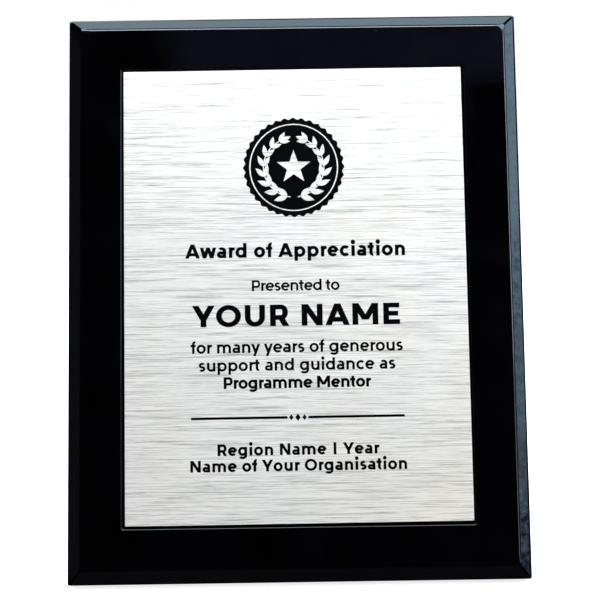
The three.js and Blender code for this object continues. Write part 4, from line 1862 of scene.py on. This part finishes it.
@dataclass(frozen=True)
class Strut:
    """Easel strut: a paper-covered panel with a rubber foot, riveted to the hinge."""

    panel_edge: float = 0.55
    foot_edge: float = 0.45
    rivet_radius: float = 2.5
    rivet_shank: float = 1.2
    rivet_height: float = 0.9
    rivet_break: float = 0.1
    dome_sweep: float = 0.95
    dome_points: int = 8
    sides: int = 40
    washer_height: float = 0.4

    def build(self, bench: Bench, paper: Material, rubber: Material, nickel: Material) -> None:
        """Makes the panel and the foot as eased copies, and turns the rivets.

        Args:
            bench: What the pieces are fitted to.
            paper: The strut's material.
            rubber: The rubber's material.
            nickel: The hinge's material.
        """
        bench.ease("strut_panel", "covered_strut", self.panel_edge, paper, "strut", "strut_board", segments=3)
        bench.ease("strut_foot", "rubber_foot", self.foot_edge, rubber, "strut", "bumper_rubber", segments=3)
        for side in ("left", "right"):
            self._rivet(bench, nickel, f"strut_rivet_{side}")

    def _rivet(self, bench: Bench, nickel: Material, node: str) -> None:
        """Turns a rivet: a flat tail, a shank and a domed head whose section is a quarter of an ellipse.

        Args:
            bench: What the pieces are fitted to.
            nickel: The hinge's material.
            node: The rivet's CAD node.
        """
        low, high = bench.strut.extent(bench.nodes[node])
        radius, shank, rim = self.rivet_radius, self.rivet_shank, self.rivet_break
        seat, tail = high[2] - self.rivet_height, low[2] + self.washer_height
        angle = np.linspace(0, math.pi / 2 * self.dome_sweep, self.dome_points)
        rise = (self.rivet_height - rim) * np.sin(angle)
        dome = np.column_stack([radius * np.cos(angle), seat + rim + rise])
        profile = [(radius - rim, low[2]), (radius, low[2] + rim), (radius, tail), (shank, tail),
                   (shank, seat), (radius, seat), *dome]
        rings = turned_rings(((low + high) / 2)[:2], profile, self.sides)
        bench.cast(f"domed_{node}", rings, bench.strut, nickel, "strut", "hinge_steel", node)


# --------------------------------------------------------------------------- studio


@dataclass(frozen=True)
class Panel:
    """Soft rectangular light that looks at a point on the plaque, from an azimuth and elevation."""

    name: str
    azimuth: float
    elevation: float
    distance: float
    size: tuple[float, float]
    radiance: Colour
    shines: bool = True
    lights: bool = True

    def build(self, target: Vector) -> None:
        """Makes the light.

        A one-sided panel of area A that sends out power P has radiance P / (pi A).
        Azimuth 0 is in front of the plaque and 90 is to the right of someone who faces it.

        Args:
            target: The point that the light looks at, in metres.
        """
        lamp = bpy.data.lights.new(self.name, "AREA")
        lamp.shape = "RECTANGLE"
        lamp.size, lamp.size_y = self.size
        strength = max(self.radiance)
        lamp.color = [channel / strength for channel in self.radiance]
        lamp.energy = math.pi * self.size[0] * self.size[1] * strength
        light = bpy.data.objects.new(self.name, lamp)
        bpy.context.scene.collection.objects.link(light)
        azimuth, elevation = math.radians(self.azimuth), math.radians(self.elevation)
        towards = Vector((math.sin(azimuth) * math.cos(elevation), -math.cos(azimuth) * math.cos(elevation),
                          math.sin(elevation)))
        light.location = target + self.distance * towards
        light.rotation_euler = towards.to_track_quat("Z", "Y").to_euler()
        light.visible_camera = False
        light.visible_glossy = self.shines
        light.visible_diffuse = self.lights


@dataclass(frozen=True)
class Viewpoint:
    """Camera in front of the board, a little above its middle.

    The board's middle, seen from the camera, lies at offset and distance after the
    camera is turned by turns, in degrees about its x, y and z axes in this order.
    """

    offset: tuple[float, float] = (-1.85, 3.17)
    distance: float = 650.0
    turns: tuple[float, float, float] = (-6.72, 0.30, 0.81)
    lens: float = 87.8
    sensor: float = 36.0
    nearest: float = 0.01
    plate_rise: float = 0.2

    def build(self, face: FlatFrame) -> None:
        """Makes the camera. Its turn is z times y times x, in the face's frame.

        Args:
            face: The frame of the board's face.
        """
        camera = bpy.data.cameras.new("camera")
        camera.lens = self.lens
        camera.sensor_width = self.sensor
        camera.clip_start = self.nearest
        viewer = bpy.data.objects.new("camera", camera)
        bpy.context.scene.collection.objects.link(viewer)
        x, y, z = (Matrix.Rotation(math.radians(turn), 3, axis) for turn, axis in zip(self.turns, "XYZ"))
        turn = np.array(z @ y @ x)
        shift = turn.T @ np.array([-self.offset[0], -self.offset[1], self.distance])
        placed = Matrix.Identity(4)
        for column, axis in enumerate(turn @ face.axes):
            for row in range(3):
                placed[row][column] = axis[row]
        for row, value in enumerate(face.place(shift - (0.0, self.plate_rise, 0.0))):
            placed[row][3] = value
        viewer.matrix_world = placed
        bpy.context.scene.camera = viewer


@dataclass(frozen=True)
class Studio:
    """White table, white surroundings and soft lights."""

    surroundings: Colour = (1.0, 1.0, 1.0)
    ambient: Colour = (0.62, 0.62, 0.62)
    mirrored: Colour = (0.003, 0.003, 0.005)
    table_half: float = 3.0
    table_glow: float = 0.80
    table_mottle: float = 9.0
    table_paint: tuple[Colour, Colour] = ((0.90, 0.90, 0.90), (0.93, 0.93, 0.93))
    target: tuple[float, float, float] = (0.0, 0.0, 0.12)
    panels: tuple[Panel, ...] = (
        Panel("key_panel", -11, 59, 1.10, (0.80, 0.30), (13.1, 13.0, 12.9)),
        Panel("key_tint", -11, 59, 1.12, (0.82, 0.31), (0.1, 1.0, 2.2), lights=False),
        Panel("right_corner_glow", 38, 49, 1.00, (0.36, 0.30), (5.5, 7.0, 9.5), lights=False),
        Panel("front_haze", 10, 46, 1.00, (0.80, 0.10), (0.20, 0.28, 0.50), lights=False),
        Panel("front_glow", 10, 37.5, 1.00, (0.54, 0.11), (0.075, 0.085, 0.145), lights=False),
        Panel("overhead_panel", 180, 82.5, 1.00, (1.5, 0.28), (2.6, 3.6, 4.4)),
        Panel("right_upper_panel", 79, 23, 0.95, (0.36, 0.32), (1.80, 2.85, 3.45)),
        Panel("right_middle_panel", 79, 7.4, 0.95, (0.36, 0.20), (0.82, 1.25, 1.55)),
        Panel("right_lower_panel", 79, -0.3, 0.95, (0.36, 0.07), (0.70, 0.80, 1.00), lights=False),
        Panel("right_front_strip", 42, 22, 0.95, (0.19, 0.30), (6.4, 7.8, 9.4)),
        Panel("right_front_upper_strip", 42, 35, 0.95, (0.19, 0.15), (6.4, 7.8, 9.4), lights=False),
        Panel("right_front_lower_strip", 37, 4.5, 0.95, (0.16, 0.29), (3.0, 3.6, 4.3), lights=False),
        Panel("left_glow", -77, 9, 0.95, (0.40, 0.60), (0.065, 0.070, 0.085), lights=False),
        Panel("table_front_glow", 0, -52, 0.60, (0.60, 0.30), (0.045, 0.045, 0.06), lights=False),
        Panel("left_side_panel", -105, 38, 1.10, (0.40, 0.40), (1.6, 1.7, 1.8)),
        Panel("back_left_panel", 142, 40, 1.10, (0.50, 0.60), (4.2, 4.3, 4.4)),
        Panel("back_right_panel", -142, 52, 1.10, (0.60, 0.50), (4.6, 4.5, 4.4)),
        Panel("back_table_glow", 180, -38, 0.80, (1.10, 0.60), (0.9, 0.9, 0.9), lights=False),
        Panel("back_fill", 180, 30, 1.30, (1.0, 0.8), (1.2, 1.2, 1.2), shines=False),
    )

    def build(self) -> None:
        """Makes the table, the surroundings and the lights."""
        for panel in self.panels:
            panel.build(Vector(self.target))
        self._table()
        self._world()
        bpy.context.scene.view_settings.view_transform = "Standard"

    def _table(self) -> None:
        """Large pale table top, which doesn't show in gloss."""
        corners = self.table_half * np.array([[-1, -1, 0], [1, -1, 0], [1, 1, 0], [-1, 1, 0]])
        table = make_piece("table_top", corners, [(0, 1, 2, 3)], False)
        material, shader, surface = new_material("table_paint")
        place = shader.add("ShaderNodeTexCoord").outputs["Object"]
        shader.feed(surface, {
            "Base Color": shader.tint(shader.noise(place, self.table_mottle), *self.table_paint),
            "Roughness": 0.9,
            "Specular IOR Level": 0.1,
            "Emission Color": (*self.surroundings, 1.0),
            "Emission Strength": self.table_glow,
        })
        table.data.materials.append(material)
        table.visible_glossy = False

    def _world(self) -> None:
        """White for the camera, pale for what the scene lights, and dark for what gloss mirrors."""
        world = bpy.data.worlds.new("studio")
        world.use_nodes = True
        bpy.context.scene.world = world
        shader = Shader(world.node_tree)
        rays = shader.add("ShaderNodeLightPath")
        lit = shader.tint(rays.outputs["Is Glossy Ray"], self.ambient, self.mirrored)
        seen = shader.tint(rays.outputs["Is Camera Ray"], lit, self.surroundings)
        shader.put(world.node_tree.nodes["Background"].inputs["Color"], seen)


# --------------------------------------------------------------------------- main


def main() -> None:
    """Builds the plaque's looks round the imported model."""
    logging.basicConfig(level=logging.INFO, format="%(name)s: %(message)s")
    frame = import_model()
    bench = Bench.from_frame(frame)
    Viewpoint().build(bench.face)
    Studio().build()
    effects = Effects()
    lean, strut_tilt = bench.face.lean, -bench.strut.lean
    lacquer = Lacquer().material(effects, lean)
    rubber = Rubber().material(effects, lean)
    brass = AGED_BRASS.material(effects, lean)
    nickel = NICKEL_PLATE.material(effects, lean)
    Board().build(bench, lacquer)
    NamePlate().build(bench, BrushedAluminium().material(effects, lean), Foam().material(effects, lean))
    Printing().build(bench, PrintInk().material(effects, lean))
    BackLiner().build(bench, Felt().material(effects, lean))
    Bumpers().build(bench, rubber)
    Hangers().build(bench, brass)
    Hinge().build(bench, nickel)
    Strut().build(bench, GrainedPaper().material(effects, strut_tilt), rubber, nickel)


if __name__ == "__main__":
    main()
